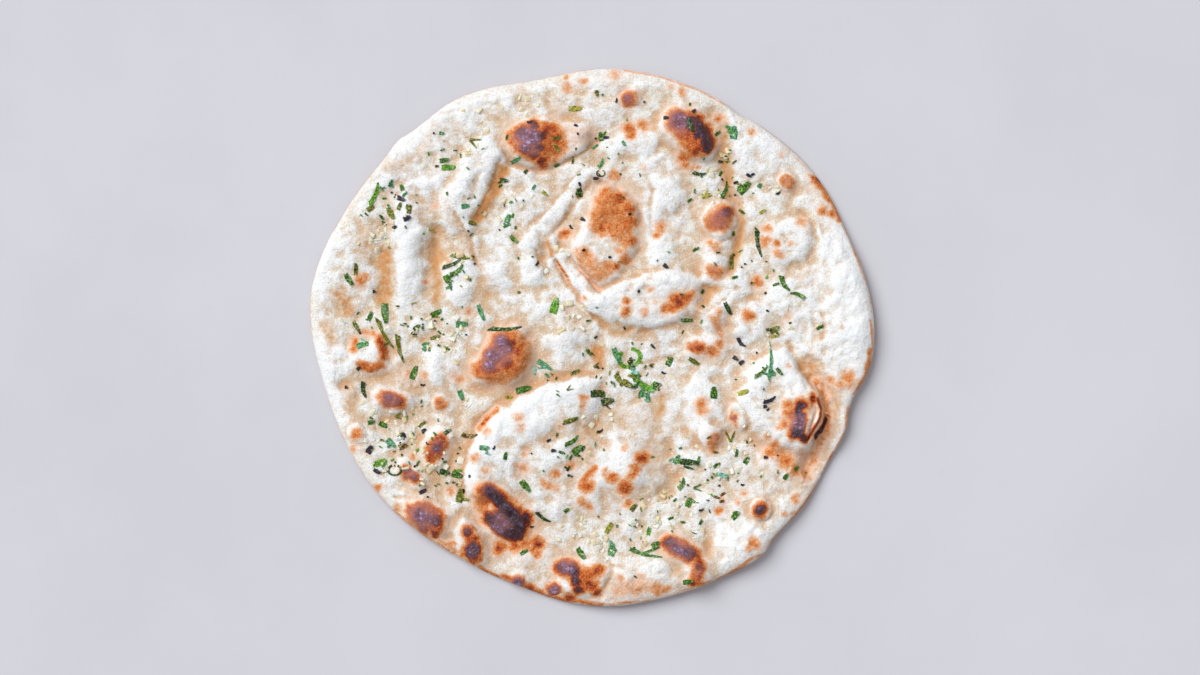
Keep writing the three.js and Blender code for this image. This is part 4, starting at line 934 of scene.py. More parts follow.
def make_loaf():
    loaf = join_into(make_top(), [make_underside()])
    with editing():
        bpy.ops.mesh.select_all(action="SELECT")
        bpy.ops.mesh.remove_doubles(threshold=0.02 * MM)
        bpy.ops.mesh.select_all(action="SELECT")
        bpy.ops.mesh.normals_make_consistent(inside=False)
    is_upper = vertex_places(loaf)[:, 2] > EDGE_HEIGHT + 0.05
    weigh_vertices(loaf, "inner_top", is_upper * away_from_rim(loaf, CALM_RIM_OF_TOP))
    roughen(loaf, "drift", size=13, height=2.6, group="inner_top", direction="RGB_TO_XYZ")
    soften(loaf, 0.5)
    roughen(loaf, "pebbles", size=4.2, height=1.15, group="inner_top")
    soften(loaf, 0.35)
    for lift in RIM_LIFTS:
        raise_form(loaf, lift, vertex_places(loaf))
    bpy.ops.object.shade_smooth()
    return loaf


# ---------------------------------------------------------------------------------------------------
# Where the loaf is browned, burnt, hollow and soaked, and where shade and sheen are painted on it
# ---------------------------------------------------------------------------------------------------

def wander(places, size, far):
    """Each place moved a little, so that spots drawn around it get uneven edges."""
    moved = places.copy()
    for index, (x, y, z) in enumerate(places / size):
        moved[index, :2] += np.array(noise.noise_vector((x, y, z))[:2]) * far
    return moved


def fading(distance, strength):
    """Browning is deepest in the middle of a spot, and thins out well past its edge."""
    burnt = smooth_step(0.6, 0.92, strength)
    spot = np.exp(-(np.maximum(distance - 0.1 - 0.25 * burnt, 0) / (0.8 - 0.12 * burnt)) ** 2)
    return strength * (0.88 * spot + 0.12 * np.exp(-(distance / 1.7) ** 2))


def around(places, spot):
    """How strongly one spot shows at each place."""
    x, y, radius, strength = spot
    return fading(np.hypot(places[:, 0] - x, places[:, 1] - y) / radius, strength)


def browning(places, areas=(), spots=(), streaks=()):
    brown = np.zeros(len(places))
    for outline, fade, strength in areas:
        depth = distance_to_ring(places, outline) * np.where(is_inside(places, outline), 1, -1)
        toasted = smooth_step(-fade, 1.6 * fade, depth) * (0.8 + 0.2 * smooth_step(0, 6, depth))
        tinged = 0.22 * smooth_step(-3.5 * fade, 0, depth)
        brown = np.maximum(brown, strength * np.maximum(toasted, tinged))
    for spot in spots:
        brown = np.maximum(brown, around(places, spot))
    for points, width, strength in streaks:
        brown = np.maximum(brown, fading(distance_to_line(places, points) / width, strength))
    return brown


def edge_browning_and_shade(places, is_under):
    """The very edge is toasted in patches, and browner towards the south-east, the side away from the
    light, where the extra brown is partly painted shade.
    """
    edge_distance = distance_to_ring(places, OUTLINE)
    toasted_and_shaded_side = smooth_step(-0.7, 0.9, (places[:, 0] - places[:, 1]) / 150)
    patches = np.clip(0.75 + (wander(places, size=11, far=1) - places)[:, 0], 0, 1.3)
    at_edge = 1 - smooth_step(0.0, 1.5, edge_distance + np.where(is_under, -2, 0))
    return (0.06 + 0.3 * toasted_and_shaded_side) * patches * at_edge


def underside_spots():
    """The underside's own scorch marks, where blisters touched the oven wall."""
    draw = random.Random(SEED + 1)
    spots = []
    for _ in range(SCORCH_MARKS):
        turn = draw.uniform(0, math.tau)
        out = math.sqrt(draw.random()) * SCORCH_REACH
        radius, strength = draw.uniform(2, 7.5), draw.uniform(0.3, 0.8)
        spots.append((math.cos(turn) * out, math.sin(turn) * out, radius, strength))
    return spots


def streak_strength(places, streaks):
    """How strong a streak is at each place: butter with painted shade, or flour."""
    depth = np.zeros(len(places))
    for points, width, strength in streaks:
        distance = distance_to_line(places, points) / width
        depth = np.maximum(depth, strength * (1 - smooth_step(0.0, 1.6, distance)))
    return depth


def hollowness(obj, places, rounds):
    """How far each vertex lies below the ground around it, in millimetres; less than 0 on a crest."""
    edges = np.empty(len(obj.data.edges) * 2, int)
    obj.data.edges.foreach_get("vertices", edges)
    first, second = edges.reshape(-1, 2).T
    count = len(places)
    neighbours = np.bincount(first, minlength=count) + np.bincount(second, minlength=count)
    heights = places[:, 2].copy()
    for _ in range(rounds):
        total = np.bincount(first, heights[second], count) + np.bincount(second, heights[first], count)
        heights = total / neighbours
    return heights - places[:, 2]


def colour_loaf(loaf):
    """Store on every vertex what the crust's finish goes by."""
    places = vertex_places(loaf)
    normals = np.empty(len(places) * 3)
    loaf.data.vertices.foreach_get("normal", normals)
    is_under = (normals.reshape(-1, 3)[:, 2] < -0.2) & (places[:, 2] < 8)
    uneven = wander(wander(places, size=6, far=1.4), size=2.4, far=0.45)

    on_top = browning(uneven, TOASTED_AREAS, TOASTED_SPOTS, TOASTED_STREAKS)
    on_top = np.maximum(on_top, browning(places, streaks=TOASTED_LINES))
    brown = np.where(is_under, browning(uneven, spots=underside_spots()), on_top)
    for patch in PALE_PATCHES:
        brown = brown * (1 - around(uneven, patch))
    # The edge browns more on the side away from the light: toasting, and painted shade.
    store_values(loaf, "brown", np.maximum(brown, edge_browning_and_shade(places, is_under)))
    # Tan of butter soaked in, with painted shade along folds and valleys.
    store_values(loaf, "soak_and_shade", np.where(is_under, 0, streak_strength(uneven, SOAKED_AND_SHADED_STREAKS)))
    store_values(loaf, "flour", np.where(is_under, 0, streak_strength(uneven, FLOURY_STREAKS)))
    store_values(loaf, "hollow", np.clip(hollowness(loaf, places, HOLLOW_ROUNDS), -3, 3))
    store_values(loaf, "crease", np.clip(hollowness(loaf, places, CREASE_ROUNDS), -1, 2))
    # Where a violet sheen is painted on the burnt skin.
    store_values(loaf, "violet_sheen", browning(uneven, spots=PAINTED_VIOLET_SHEEN))
    store_values(loaf, "underside", is_under)


# ---------------------------------------------------------------------------------------------------
# Finishes
# ---------------------------------------------------------------------------------------------------

def shade(red, green, blue):
    """A screen colour, 0 to 255, as the light it stands for."""
    linear = [((c / 255 + 0.055) / 1.055) ** 2.4 if c > 10 else c / 255 / 12.92 for c in (red, green, blue)]
    return (*linear, 1)


class Finish:
    """A material and the few kinds of node that its pattern is put together from."""

    def __init__(self, name, colour):
        self.material = bpy.data.materials.new(name)
        self.material.use_nodes = True
        self.material.diffuse_color = colour
        self.tree = self.material.node_tree
        self.places = self.node("TexCoord").outputs["Object"]

    def node(self, kind, **settings):
        made = self.tree.nodes.new("ShaderNode" + kind)
        for name, value in settings.items():
            setattr(made, name, value)
        return made

    def put(self, socket, value):
        """Link a value to a socket, or set it there."""
        if isinstance(value, bpy.types.NodeSocket):
            self.tree.links.new(value, socket)
        else:
            socket.default_value = value

    def feed(self, node, **values):
        """Fill a node's sockets by name, with _ for each space in the name."""
        for name, value in values.items():
            self.put(node.inputs[name.replace("_", " ")], value)

    def coat(self, **values):
        """Fill sockets of the shader itself."""
        self.feed(self.tree.nodes["Principled BSDF"], **values)

    def stored(self, name):
        """A value that is stored on the mesh."""
        return self.node("Attribute", attribute_name=name).outputs["Fac"]

    def noise(self, size, detail=3, roughness=0.55, warp=0):
        """Noise with lumps of a size in millimetres."""
        made = self.node("TexNoise")
        self.feed(
            made, Vector=self.places, Scale=1 / (size * MM), Detail=detail, Roughness=roughness,
            Distortion=warp)
        return made.outputs["Fac"]

    def cells(self, size):
        made = self.node("TexVoronoi")
        self.feed(made, Vector=self.places, Scale=1 / (size * MM))
        return made.outputs["Distance"]

    def reckon(self, operation, first, second, third=0.0, clamp=False):
        made = self.node("Math", operation=operation, use_clamp=clamp)
        for socket, value in zip(made.inputs, (first, second, third)):
            self.put(socket, value)
        return made.outputs[0]

    def plus(self, first, second, clamp=False):
        return self.reckon("ADD", first, second, clamp=clamp)

    def less(self, first, second):
        return self.reckon("SUBTRACT", first, second)

    def times(self, first, second, plus=None, clamp=False):
        if plus is None:
            return self.reckon("MULTIPLY", first, second, clamp=clamp)
        return self.reckon("MULTIPLY_ADD", first, second, plus, clamp)

    def swing(self, pattern, share, plus=None):
        """A share of how far a pattern swings about its middle."""
        return self.times(self.less(pattern, 0.5), share, plus)

    def between(self, value, low, high, start=0.0, end=1.0):
        """A smooth step from start to end as the value goes from low to high."""
        made = self.node("MapRange", interpolation_type="SMOOTHSTEP")
        self.feed(made, Value=value, From_Min=low, From_Max=high, To_Min=start, To_Max=end)
        return made.outputs["Result"]

    def ramp(self, value, stops):
        made = self.node("ValToRGB")
        elements = made.color_ramp.elements
        while len(elements) < len(stops):
            elements.new(0.5)
        for element, (place, colour) in zip(elements, stops):
            element.position = place
            element.color = colour
        self.feed(made, Fac=value)
        return made.outputs["Color"]

    def mix(self, share, first, second):
        """Two colours mixed, with this share of the second."""
        made = self.node("Mix", data_type="RGBA")
        # The sockets for two colours come after those for two numbers and two directions.
        for index, value in ((0, share), (6, first), (7, second)):
            self.put(made.inputs[index], value)
        return made.outputs[2]

    def bump(self, height, distance, strength=1.0, below=None):
        """Relief as deep as a distance in millimetres, on top of the relief below."""
        made = self.node("Bump")
        self.feed(made, Height=height, Distance=distance * MM, Strength=strength)
        if below:
            self.feed(made, Normal=below)
        return made.outputs["Normal"]


# Raw-looking dough, flour and butter; the tans also serve as painted shade in hollows, folds and creases.
CREAM_WHITE = shade(248, 251, 253)
CREAM = shade(240, 237, 230)
BEIGE = shade(230, 218, 200)
FLOUR_GREY = shade(224, 223, 225)
FLOUR_WHITE = shade(252, 254, 255)
GRIT = shade(202, 186, 166)
PALE_TAN = shade(222, 186, 148)
CREASE_SHADE_TAN = shade(212, 178, 138)
SOAK_AND_SHADE_TAN = shade(214, 169, 119)
DEEP_TAN = shade(210, 142, 80)
# Browned and burnt skin, from pale to dark, with a painted rosy sheen and painted glints.
BUBBLE_PINK = shade(240, 190, 152)
ROSY_SHEEN_BROWN = shade(188, 128, 120)
FRECKLE_BROWN = shade(196, 138, 92)
SCORCHED_TAN = shade(222, 178, 124)
GLINT = shade(214, 194, 214)
BROWNING_STOPS = [
    (0.0, shade(246, 238, 230)), (0.1, shade(242, 220, 206)), (0.2, shade(236, 198, 172)),
    (0.3, shade(231, 174, 130)), (0.4, shade(220, 145, 86)), (0.52, shade(206, 108, 42)),
    (0.64, shade(166, 64, 18)), (0.78, shade(106, 34, 14)),
]
BLACK_STOPS = [
    (0.36, shade(22, 13, 22)), (0.46, shade(46, 28, 38)), (0.56, shade(78, 58, 76)),
    (0.68, shade(132, 114, 140)),
]
VIOLET_SHEEN_STOPS = [
    (0.36, shade(72, 32, 46)), (0.46, shade(118, 76, 96)), (0.56, shade(158, 122, 152)),
    (0.66, shade(212, 192, 232)),
]


def bread_finish():
    finish = Finish("naan_crust", CREAM_WHITE)
    brown, violet_sheen = finish.stored("brown"), finish.stored("violet_sheen")
    soak_and_shade, flour = finish.stored("soak_and_shade"), finish.stored("flour")
    hollow, crease_depth = finish.stored("hollow"), finish.stored("crease")
    broad = finish.noise(22)
    patchy = finish.noise(7, 4)
    mottled = finish.noise(2.4, 4)
    fine = finish.noise(0.75, 2)
    streaky = finish.noise(4, 3, 0.6, 1.2)

    # Raw-looking dough: cream, with tan painted into its hollows as shade.
    colour = finish.mix(finish.between(patchy, 0.44, 0.64), CREAM, BEIGE)
    colour = finish.mix(finish.between(broad, 0.45, 0.7, 0, 0.6), colour, FLOUR_GREY)
    colour = finish.mix(finish.between(mottled, 0.5, 0.7, 0, 0.5), colour, PALE_TAN)
    # Painted shade: the further a place lies below the ground around it, the more tan it gets.
    hollow_shade = finish.between(finish.times(hollow, 1.0, finish.less(streaky, 0.5)), 0.1, 1.9)
    colour = finish.mix(finish.times(hollow_shade, 0.78), colour, PALE_TAN)

    # White flour in uneven patches, where it was dusted on, and white painted on every crest as a
    # highlight.
    dusted = finish.between(streaky, 0.5, 0.64, 0, 0.6)
    flour_and_highlight = finish.times(flour, finish.between(mottled, 0.34, 0.62, 1.15, 0.72), dusted)
    crest_highlight = finish.plus(
        finish.between(hollow, -0.1, -0.9, 0, 0.5), finish.between(crease_depth, -0.01, -0.16, 0, 0.5))
    flour_and_highlight = finish.less(finish.plus(flour_and_highlight, crest_highlight), finish.times(hollow_shade, 0.55))
    colour = finish.mix(finish.between(flour_and_highlight, 0.0, 1.1), colour, CREAM_WHITE)
    # Painted shade: tan in the creases, less where the dough is floury.
    crease_shade = finish.times(
        finish.between(crease_depth, 0.0, 0.22), finish.between(flour, 0.1, 0.8, 0.66, 0.06))
    colour = finish.mix(crease_shade, colour, CREASE_SHADE_TAN)
    gritty = finish.times(finish.between(fine, 0.5, 0.68), finish.between(flour, 0.2, 1.0, 0.55, 0.25))
    colour = finish.mix(gritty, colour, GRIT)
    colour = finish.mix(finish.between(fine, 0.48, 0.32, 0, 0.6), colour, FLOUR_WHITE)

    # Tan in the folds and valleys, partly butter soaked in and partly painted shade, and deeper tan painted
    # into the creases as shade.
    ragged = finish.times(mottled, 0.6, -0.3)
    wet_and_shaded = finish.times(soak_and_shade, finish.between(streaky, 0.32, 0.64, 0.72, 1.25), ragged, clamp=True)
    colour = finish.mix(finish.between(wet_and_shaded, 0.0, 0.85, 0, 0.8), colour, SOAK_AND_SHADE_TAN)
    colour = finish.mix(finish.between(wet_and_shaded, 0.55, 1.1, 0, 0.95), colour, DEEP_TAN)
    # Painted shade: deeper tan in the deepest creases.
    colour = finish.mix(finish.between(crease_depth, 0.2, 0.8, 0, 0.5), colour, DEEP_TAN)

    # Browned blisters: the noise is let in only where there is browning at all.
    speckle = finish.swing(streaky, 0.34, finish.swing(mottled, 0.44))
    grain = finish.swing(fine, 0.5, speckle)
    browned = finish.times(grain, finish.between(brown, 0.04, 0.35), brown)
    colour = finish.mix(finish.between(browned, 0.0, 0.26), colour, finish.ramp(browned, BROWNING_STOPS))
    bubbles = finish.between(finish.cells(1.5), 0.3, 0.12)
    pale_bubbles = finish.times(bubbles, finish.between(brown, 0.3, 0.45, 0, 0.28))
    colour = finish.mix(finish.times(pale_bubbles, finish.between(brown, 0.8, 0.7)), colour, BUBBLE_PINK)
    # Painted sheen: a rosy haze on browned skin where the violet sheen is painted.
    rosy_sheen = finish.times(finish.between(brown, 0.3, 0.5), finish.between(violet_sheen, 0.05, 0.9, 0, 0.62))
    colour = finish.mix(rosy_sheen, colour, ROSY_SHEEN_BROWN)

    # Burnt skin: finely pebbled black over dark red, and in places a painted violet sheen.
    pebbles = finish.noise(1.3, 3, 0.6, 0.4)
    clouds = finish.plus(finish.times(pebbles, 0.5), finish.times(mottled, 0.5))
    charred = finish.between(finish.swing(clouds, 0.8, brown), 0.7, 0.97)
    painted_sheen = finish.between(finish.plus(grain, violet_sheen), 0.4, 1.1)
    char = finish.mix(painted_sheen, finish.ramp(clouds, BLACK_STOPS), finish.ramp(clouds, VIOLET_SHEEN_STOPS))
    colour = finish.mix(charred, colour, char)
    # Painted glints: small pale highlights scattered over the burnt skin.
    glints = finish.times(finish.between(finish.noise(1.1, 2, 0.6, 0.8), 0.6, 0.7), charred)
    colour = finish.mix(finish.times(glints, finish.between(painted_sheen, 0.1, 0.8, 0.22, 0.6)), colour, GLINT)

    # A few freckles, and the scorched underside.
    freckles = finish.between(finish.noise(2.0, 1), 0.73, 0.79)
    colour = finish.mix(finish.times(freckles, 0.3), colour, FRECKLE_BROWN)
    scorched = finish.times(finish.stored("underside"), finish.between(patchy, 0.35, 0.7, 0.15, 0.6))
    colour = finish.mix(scorched, colour, SCORCHED_TAN)

    dry = finish.between(fine, 0.3, 0.7, 0.68, 0.86)
    glossed = finish.plus(finish.between(wet_and_shaded, 0.2, 0.8, 0, 0.2), finish.between(brown, 0.5, 0.9, 0, 0.46))
    skin = finish.bump(finish.noise(5, 4), 1.1)
    floury = finish.bump(finish.noise(1.4, 4, 0.7), 0.55, below=skin)
    crackle = finish.times(pebbles, finish.between(brown, 0.4, 0.85))
    finish.coat(
        Base_Color=colour, Roughness=finish.less(dry, glossed), Specular_IOR_Level=0.34,
        Subsurface_Weight=0.2, Subsurface_Radius=(1.0, 0.7, 0.45), Subsurface_Scale=1.2 * MM,
        Normal=finish.bump(crackle, 0.8, below=floury))
    return finish.material


HERB_STOPS = [
    (PALE, shade(150, 208, 194)), (TEAL, shade(58, 134, 84)), (BRIGHT, shade(104, 166, 16)),
    (GREEN, shade(56, 104, 8)), (DARK, shade(18, 50, 10)), (OLIVE, shade(104, 104, 0)),
    (YELLOW, shade(172, 166, 40)), (BROWN, shade(110, 60, 16)),
]
HERB_SHADOW = shade(14, 34, 12)
HERB_SHEEN = shade(186, 212, 140)


def herb_finish():
    finish = Finish("coriander", shade(52, 104, 44))
    tint = finish.plus(finish.stored("tint"), finish.swing(finish.noise(1.6, 2), 0.3), clamp=True)
    patchy = finish.noise(0.9, 2)
    shaded = finish.between(patchy, 0.48, 0.36, 0, 0.75)
    colour = finish.mix(shaded, finish.ramp(tint, HERB_STOPS), HERB_SHADOW)
    finish.coat(
        Base_Color=finish.mix(finish.between(patchy, 0.55, 0.68, 0, 0.65), colour, HERB_SHEEN),
        Roughness=finish.between(finish.noise(1.2), 0.35, 0.65, 0.22, 0.42), Specular_IOR_Level=0.4,
        Normal=finish.bump(finish.noise(0.7, 2), 0.15, 0.6))
    return finish.material


FLAKE_STOPS = [
    (0.3, shade(22, 18, 24)), (0.5, shade(34, 38, 58)), (0.62, shade(74, 34, 30)),
    (0.75, shade(92, 96, 112)),
]


def flake_finish():
    finish = Finish("burnt_flakes", shade(30, 30, 44))
    finish.coat(
        Base_Color=finish.ramp(finish.noise(1.4, 2), FLAKE_STOPS),
        Roughness=finish.between(finish.noise(0.9), 0.35, 0.65, 0.3, 0.6),
        Normal=finish.bump(finish.noise(0.5, 2), 0.15, 0.6))
    return finish.material


GARLIC_STOPS = [
    (0.1, shade(244, 243, 236)), (0.4, shade(238, 231, 210)), (0.7, shade(230, 213, 174)),
    (0.95, shade(212, 184, 136)),
]


def garlic_finish():
    finish = Finish("garlic", shade(240, 226, 180))
    tint = finish.times(finish.stored("tint"), 0.6, finish.times(finish.noise(1.6, 2), 0.4))
    finish.coat(
        Base_Color=finish.ramp(tint, GARLIC_STOPS),
        Roughness=finish.between(finish.noise(1.1), 0.35, 0.65, 0.25, 0.45),
        Subsurface_Weight=0.6, Subsurface_Radius=(1.0, 0.7, 0.35), Subsurface_Scale=1.5 * MM,
        Normal=finish.bump(finish.noise(0.6, 2), 0.1, 0.5))
    return finish.material


def table_finish():
    finish = Finish("table_stone", shade(208, 208, 216))
    cloudy = finish.between(finish.noise(160, 5), 0.3, 0.7)
    colour = finish.mix(cloudy, shade(206, 206, 213), shade(211, 211, 219))
    speckled = finish.between(finish.noise(9, 3), 0.66, 0.8, 0, 0.12)
    finish.coat(
        Base_Color=finish.mix(speckled, colour, shade(190, 187, 195)),
        Roughness=finish.between(finish.noise(30), 0.35, 0.65, 0.6, 0.75),
        Normal=finish.bump(finish.noise(2.5, 4), 0.1, 0.3))
    return finish.material


# ---------------------------------------------------------------------------------------------------
# Chopped coriander, burnt flakes and minced garlic
# ---------------------------------------------------------------------------------------------------

def flat_cutting(name, width, rows, columns=2, length=CUTTING_LENGTH):
    deselect_all()
    bpy.ops.mesh.primitive_grid_add(x_subdivisions=rows, y_subdivisions=columns, size=1)
    cutting = bpy.context.object
    cutting.name = name
    bpy.ops.transform.resize(value=(length * MM, width * MM, 1))
    bpy.ops.object.transform_apply(location=True, rotation=True, scale=True)
    pick_by("VERTEX")
    return cutting


def lift_vertices(obj, picked, height):
    """Lift some vertices of a cutting, and those around them less."""
    select_vertices(obj, picked)
    with editing():
        bpy.ops.transform.translate(
            value=(0, 0, height * MM), use_proportional_edit=True,
            proportional_edit_falloff=SOFT, proportional_size=CUTTING_LENGTH * 0.4 * MM)


def at_end(obj, side, inwards=0.01):
    """Which vertices are at the right-hand end of a cutting, with side 1, or the other, with side -1."""
    return vertex_places(obj)[:, 0] * side > CUTTING_LENGTH / 2 - inwards


def narrow_end(obj, side, keep):
    """Narrow a cutting towards one end, down to a share of its width."""
    select_vertices(obj, at_end(obj, side))
    with editing():
        bpy.ops.transform.resize(
            value=(1, keep, 1), use_proportional_edit=True,
            proportional_edit_falloff=KEEN, proportional_size=CUTTING_LENGTH * 0.6 * MM)


def crumple(obj, far, seed):
    """Crumple a flat cutting, so that its edges are ragged and its facets catch the light unevenly."""
    make_active(obj)
    with editing():
        bpy.ops.mesh.select_all(action="SELECT")
        bpy.ops.transform.vertex_random(offset=far * MM, seed=seed)


def thicken(obj, thickness):
    apply_modifier(obj, "SOLIDIFY", thickness=thickness * MM, offset=1.0)


def bend(obj, degrees):
    apply_modifier(obj, "SIMPLE_DEFORM", deform_method="BEND", angle=math.radians(degrees), deform_axis="Z")


def strip_cutting():
    strip = flat_cutting("strip", width=2.5, rows=5)
    narrow_end(strip, 1, keep=0.45)
    narrow_end(strip, -1, keep=0.8)
    crumple(strip, far=0.44, seed=3)
    places = vertex_places(strip)
    lift_vertices(strip, at_end(strip, 1), 0.5)
    lift_vertices(strip, (places[:, 1] > 0.5) & (np.abs(places[:, 0]) < 1.2), 0.4)
    thicken(strip, 0.3)
    return strip


def curl_cutting():
    curl = flat_cutting("curl", width=1.9, rows=9)
    narrow_end(curl, 1, keep=0.35)
    crumple(curl, far=0.24, seed=5)
    lift_vertices(curl, at_end(curl, -1), 0.6)
    thicken(curl, 0.32)
    bend(curl, 75)
    return curl


def leaf_cutting():
    """A chopped piece of leaf, broad and ragged."""
    leaf = flat_cutting("leaf", width=3.2, rows=5, columns=3)
    narrow_end(leaf, 1, keep=0.35)
    crumple(leaf, far=0.62, seed=7)
    lift_vertices(leaf, at_end(leaf, 1, inwards=0.8), 0.6)
    thicken(leaf, 0.28)
    return leaf


def fork_cutting():
    """Two thin strips that meet at one end."""
    to_its_end = CUTTING_LENGTH / 2 * MM
    parts = []
    for turn in (0.45, -0.35):
        strip = flat_cutting("fork", width=1.2, rows=5)
        narrow_end(strip, 1, keep=0.4)
        crumple(strip, far=0.2, seed=4)
        strip.data.transform(Matrix.Translation((to_its_end, 0, 0)))
        strip.data.transform(Matrix.Rotation(turn, 4, "Z"))
        strip.data.transform(Matrix.Translation((-to_its_end, 0, 0)))
        parts.append(strip)
    fork = join_into(parts[0], parts[1:])
    thicken(fork, 0.3)
    return fork


def ring_cutting():
    """A strip that curls round nearly to a ring."""
    ring = flat_cutting("ring", width=1.2, rows=16, length=CUTTING_LENGTH * 2.7)
    crumple(ring, far=0.22, seed=9)
    thicken(ring, 0.35)
    bend(ring, 310)
    make_active(ring)
    bpy.ops.object.origin_set(type="ORIGIN_GEOMETRY", center="BOUNDS")
    ring.location = (0, 0, 0)
    return ring


# Minced bits of garlic: the sides of each block.
GARLIC_BITS = [(3.2, 2.4, 1.2), (2.4, 2.2, 1.3), (4.2, 1.8, 1.1)]


def garlic_bit(size, seed):
    """A minced bit of garlic: a small block, cut uneven."""
    deselect_all()
    bpy.ops.mesh.primitive_cube_add(size=1)
    bit = bpy.context.object
    bpy.ops.transform.resize(value=[side * MM for side in size])
    bpy.ops.object.transform_apply(location=True, rotation=True, scale=True)
    with editing():
        bpy.ops.mesh.select_all(action="SELECT")
        bpy.ops.transform.vertex_random(offset=0.6 * MM, seed=seed)
        bpy.ops.mesh.bevel(offset=0.42 * MM, segments=2, affect="EDGES")
    bpy.ops.object.shade_smooth()
    return bit


def surface_of(loaf):
    tree = BVHTree.FromObject(loaf, bpy.context.evaluated_depsgraph_get())

    def height(x, y):
        hit = tree.ray_cast(Vector((x, y, ABOVE_LOAF)), Vector((0, 0, -1)))[0]
        return None if hit is None else hit.z

    return height


def put_in_scene(name, data, place=(0, 0, 0)):
    thing = bpy.data.objects.new(name, data)
    bpy.context.scene.collection.objects.link(thing)
    thing.location = place
    return thing


def set_down(master, surface, place, turn, scale, tint=0, drape=True, tilt=(0, 0), lift=0.05):
    """Lay one copy of a cutting on the loaf: draped over it, or set into it as it is."""
    copy = put_in_scene(master.name, master.data.copy())
    copy.data.transform(
        Matrix.Rotation(math.radians(turn), 4, "Z") @ Matrix.Rotation(tilt[0], 4, "X")
        @ Matrix.Rotation(tilt[1], 4, "Y") @ Matrix.Diagonal((*scale, 1)))
    copy.data.transform(Matrix.Translation((place[0] * MM, place[1] * MM, 0)))
    resting = surface(place[0] * MM, place[1] * MM)
    for vertex in copy.data.vertices:
        under = surface(vertex.co.x, vertex.co.y) if drape else resting
        vertex.co.z += (under if under is not None else resting) + lift * MM
    store_values(copy, "tint", [tint] * len(copy.data.vertices))
    return copy


def gather(name, pieces, masters, material):
    """Join the copies into one piece, and clear the masters away."""
    gathered = join_into(pieces[0], pieces[1:])
    gathered.name = name
    gathered.data.materials.append(material)
    for master in masters:
        bpy.data.objects.remove(master)
    bpy.context.view_layer.update()
    return gathered


def is_burnt(place):
    return any(
        math.dist(place, (x, y)) < radius for x, y, radius, strength in TOASTED_SPOTS if strength > BURNT)


def drift_places(draw, drifts):
    """Seeded places that thin out from the middle of each drift, all of them on the loaf."""
    inner_outline = [(x * STREWN_SHARE, y * STREWN_SHARE) for x, y in OUTLINE]
    for x, y, spread, count in drifts:
        for _ in range(count):
            place = (draw.gauss(x, spread * 0.5), draw.gauss(y, spread * 0.5))
            if is_inside(np.array([place]), inner_outline)[0] and not is_burnt(place):
                yield place


def make_coriander(surface):
    draw = random.Random(SEED + 2)
    masters = {
        "strip": strip_cutting(), "curl": curl_cutting(), "leaf": leaf_cutting(), "fork": fork_cutting(),
        "ring": ring_cutting(),
    }
    pieces = []
    for cut, rows in CORIANDER.items():
        for x, y, length, turn, tint in rows:
            along = length / CUTTING_LENGTH
            across = along * 0.8 if cut == "ring" else min(max(along, 0.55), 1.05) * draw.uniform(0.85, 1.2)
            is_torn = cut == "strip" and draw.random() < 0.4
            master = masters["leaf" if is_torn else cut]
            pieces.append(set_down(master, surface, (x, y), turn, (along, across, 1), tint))
            # A leaf is cut through more than once, and its scraps lie by it.
            for _ in range(2 if cut == "leaf" else 0):
                beside = (x + draw.gauss(0, length * 0.28), y + draw.gauss(0, length * 0.28))
                scrap_turn = turn + draw.gauss(0, 50)
                scrap_tint = min(max(tint + draw.uniform(-0.16, 0.14), 0), 1)
                scrap_size = (along * 0.55, across * 0.6, 1)
                pieces.append(set_down(
                    masters["strip"], surface, beside, scrap_turn, scrap_size, scrap_tint))
    for place in drift_places(draw, DUST_DRIFTS):
        size = (draw.triangular(0.14, 0.5, 0.2), draw.uniform(0.22, 0.5), 1)
        tint = draw.choice([TEAL, BRIGHT, GREEN, GREEN, DARK, OLIVE, YELLOW])
        pieces.append(set_down(masters["strip"], surface, place, draw.uniform(0, 360), size, tint))
    return gather("naan_coriander", pieces, masters.values(), herb_finish())


def make_flakes(surface):
    draw = random.Random(SEED + 3)
    masters = [strip_cutting(), curl_cutting(), leaf_cutting()]
    pieces = []
    for x, y, length, turn in BURNT_FLAKES:
        along = length / CUTTING_LENGTH
        across = min(max(along * 1.3, 0.55), 1.0)
        pieces.append(set_down(draw.choice(masters), surface, (x, y), turn, (along, across, 1.2)))
    burnt_dust = [(x, y, spread, count // 5) for x, y, spread, count in DUST_DRIFTS]
    for place in drift_places(draw, burnt_dust):
        size = draw.uniform(0.12, 0.24)
        pieces.append(set_down(masters[0], surface, place, draw.uniform(0, 360), (size, size * 2, 1.2)))
    return gather("naan_burnt_flakes", pieces, masters, flake_finish())


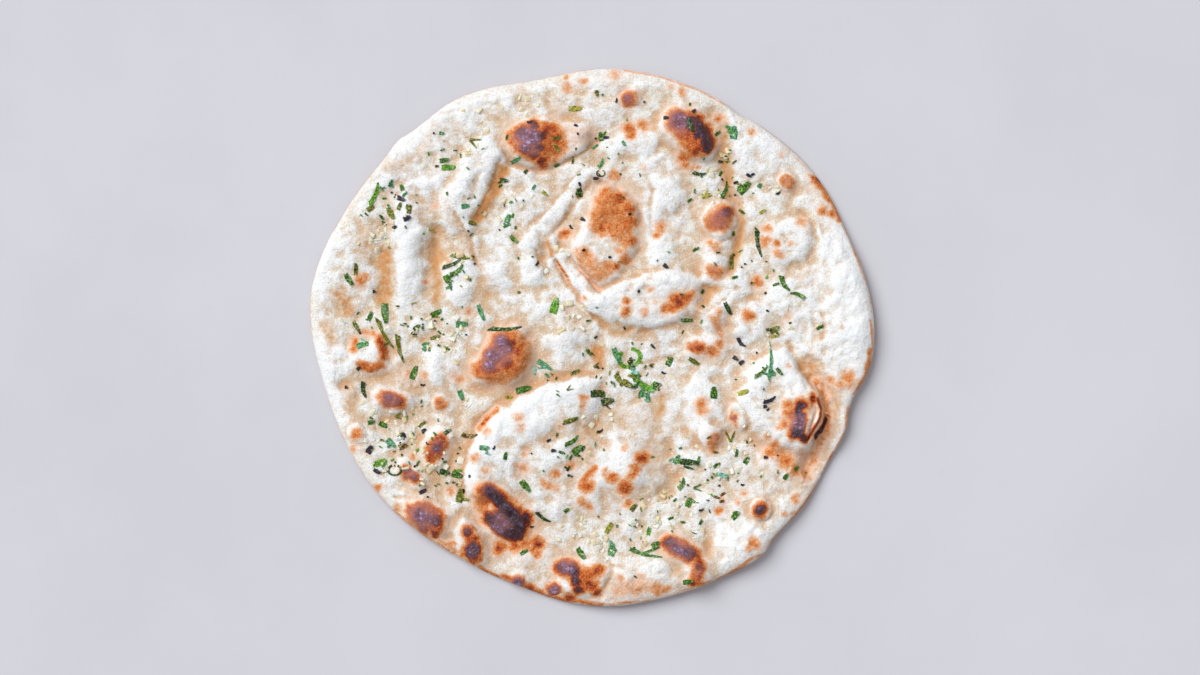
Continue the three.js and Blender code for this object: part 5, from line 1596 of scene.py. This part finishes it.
def make_garlic(surface):
    draw = random.Random(SEED + 4)
    masters = [garlic_bit(size, seed) for seed, size in enumerate(GARLIC_BITS)]
    pieces = []
    for place in drift_places(draw, GARLIC_DRIFTS):
        size = draw.triangular(0.5, 1.45, 0.8)
        tilt = (draw.uniform(-0.4, 0.4), draw.uniform(-0.4, 0.4))
        master = draw.choice(masters)
        turn, tint = draw.uniform(0, 360), draw.random()
        pieces.append(set_down(
            master, surface, place, turn, (size, size, size * 0.8), tint, drape=False, tilt=tilt,
            lift=-0.15))
    longest = GARLIC_BITS[2][0]
    for x, y, length, turn in GARLIC_SLIVERS:
        size = (length / longest, 0.9, 0.6)
        pieces.append(set_down(masters[2], surface, (x, y), turn, size, tint=0.4, lift=-0.1))
    return gather("naan_garlic", pieces, masters, garlic_finish())


# Noise starts from the clock unless it is given a seed, and every bread would be browned differently.
noise.seed_set(SEED)
loaf = make_loaf()
colour_loaf(loaf)
loaf.data.materials.append(bread_finish())
loaf_surface = surface_of(loaf)
coriander = make_coriander(loaf_surface)
flakes = make_flakes(loaf_surface)
garlic = make_garlic(loaf_surface)
for piece, slot in (
        (loaf, "naan_crust"), (coriander, "coriander"), (flakes, "coriander"), (garlic, "garlic")):
    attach(piece, "root")
    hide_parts("naan")

# ---------------------------------------------------------------------------------------------------
# The table, the light and the camera
# ---------------------------------------------------------------------------------------------------

TABLE_SIZE = 6
LIGHT_PLACE = (-1.2, 1.1, 1.8)
# The camera looks straight down, and stands a little off the middle.
CAMERA_PLACE = (0.0041, -0.0001, 1.425)

deselect_all()
bpy.ops.mesh.primitive_plane_add(size=TABLE_SIZE, location=(0, 0, 0))
table = bpy.context.object
table.name = "table_top"
table.data.materials.append(table_finish())

window_light = bpy.data.lights.new("window_light", "SUN")
window_light.energy = 2.62
window_light.angle = math.radians(40)
window_light.color = (1, 0.998, 0.99)
lamp = put_in_scene("window_light", window_light, LIGHT_PLACE)
lamp.rotation_euler = (-lamp.location).to_track_quat("-Z", "Y").to_euler()

world = bpy.data.worlds.new("soft_room")
bpy.context.scene.world = world
world.use_nodes = True
world.node_tree.nodes["Background"].inputs["Color"].default_value = (0.95, 0.965, 1.0, 1)
world.node_tree.nodes["Background"].inputs["Strength"].default_value = 0.42
bpy.context.scene.view_settings.view_transform = "Standard"

camera = bpy.data.cameras.new("camera")
camera.lens = 85
camera.sensor_width = 36
camera.clip_start = 0.01
bpy.context.scene.camera = put_in_scene("camera", camera, CAMERA_PLACE)
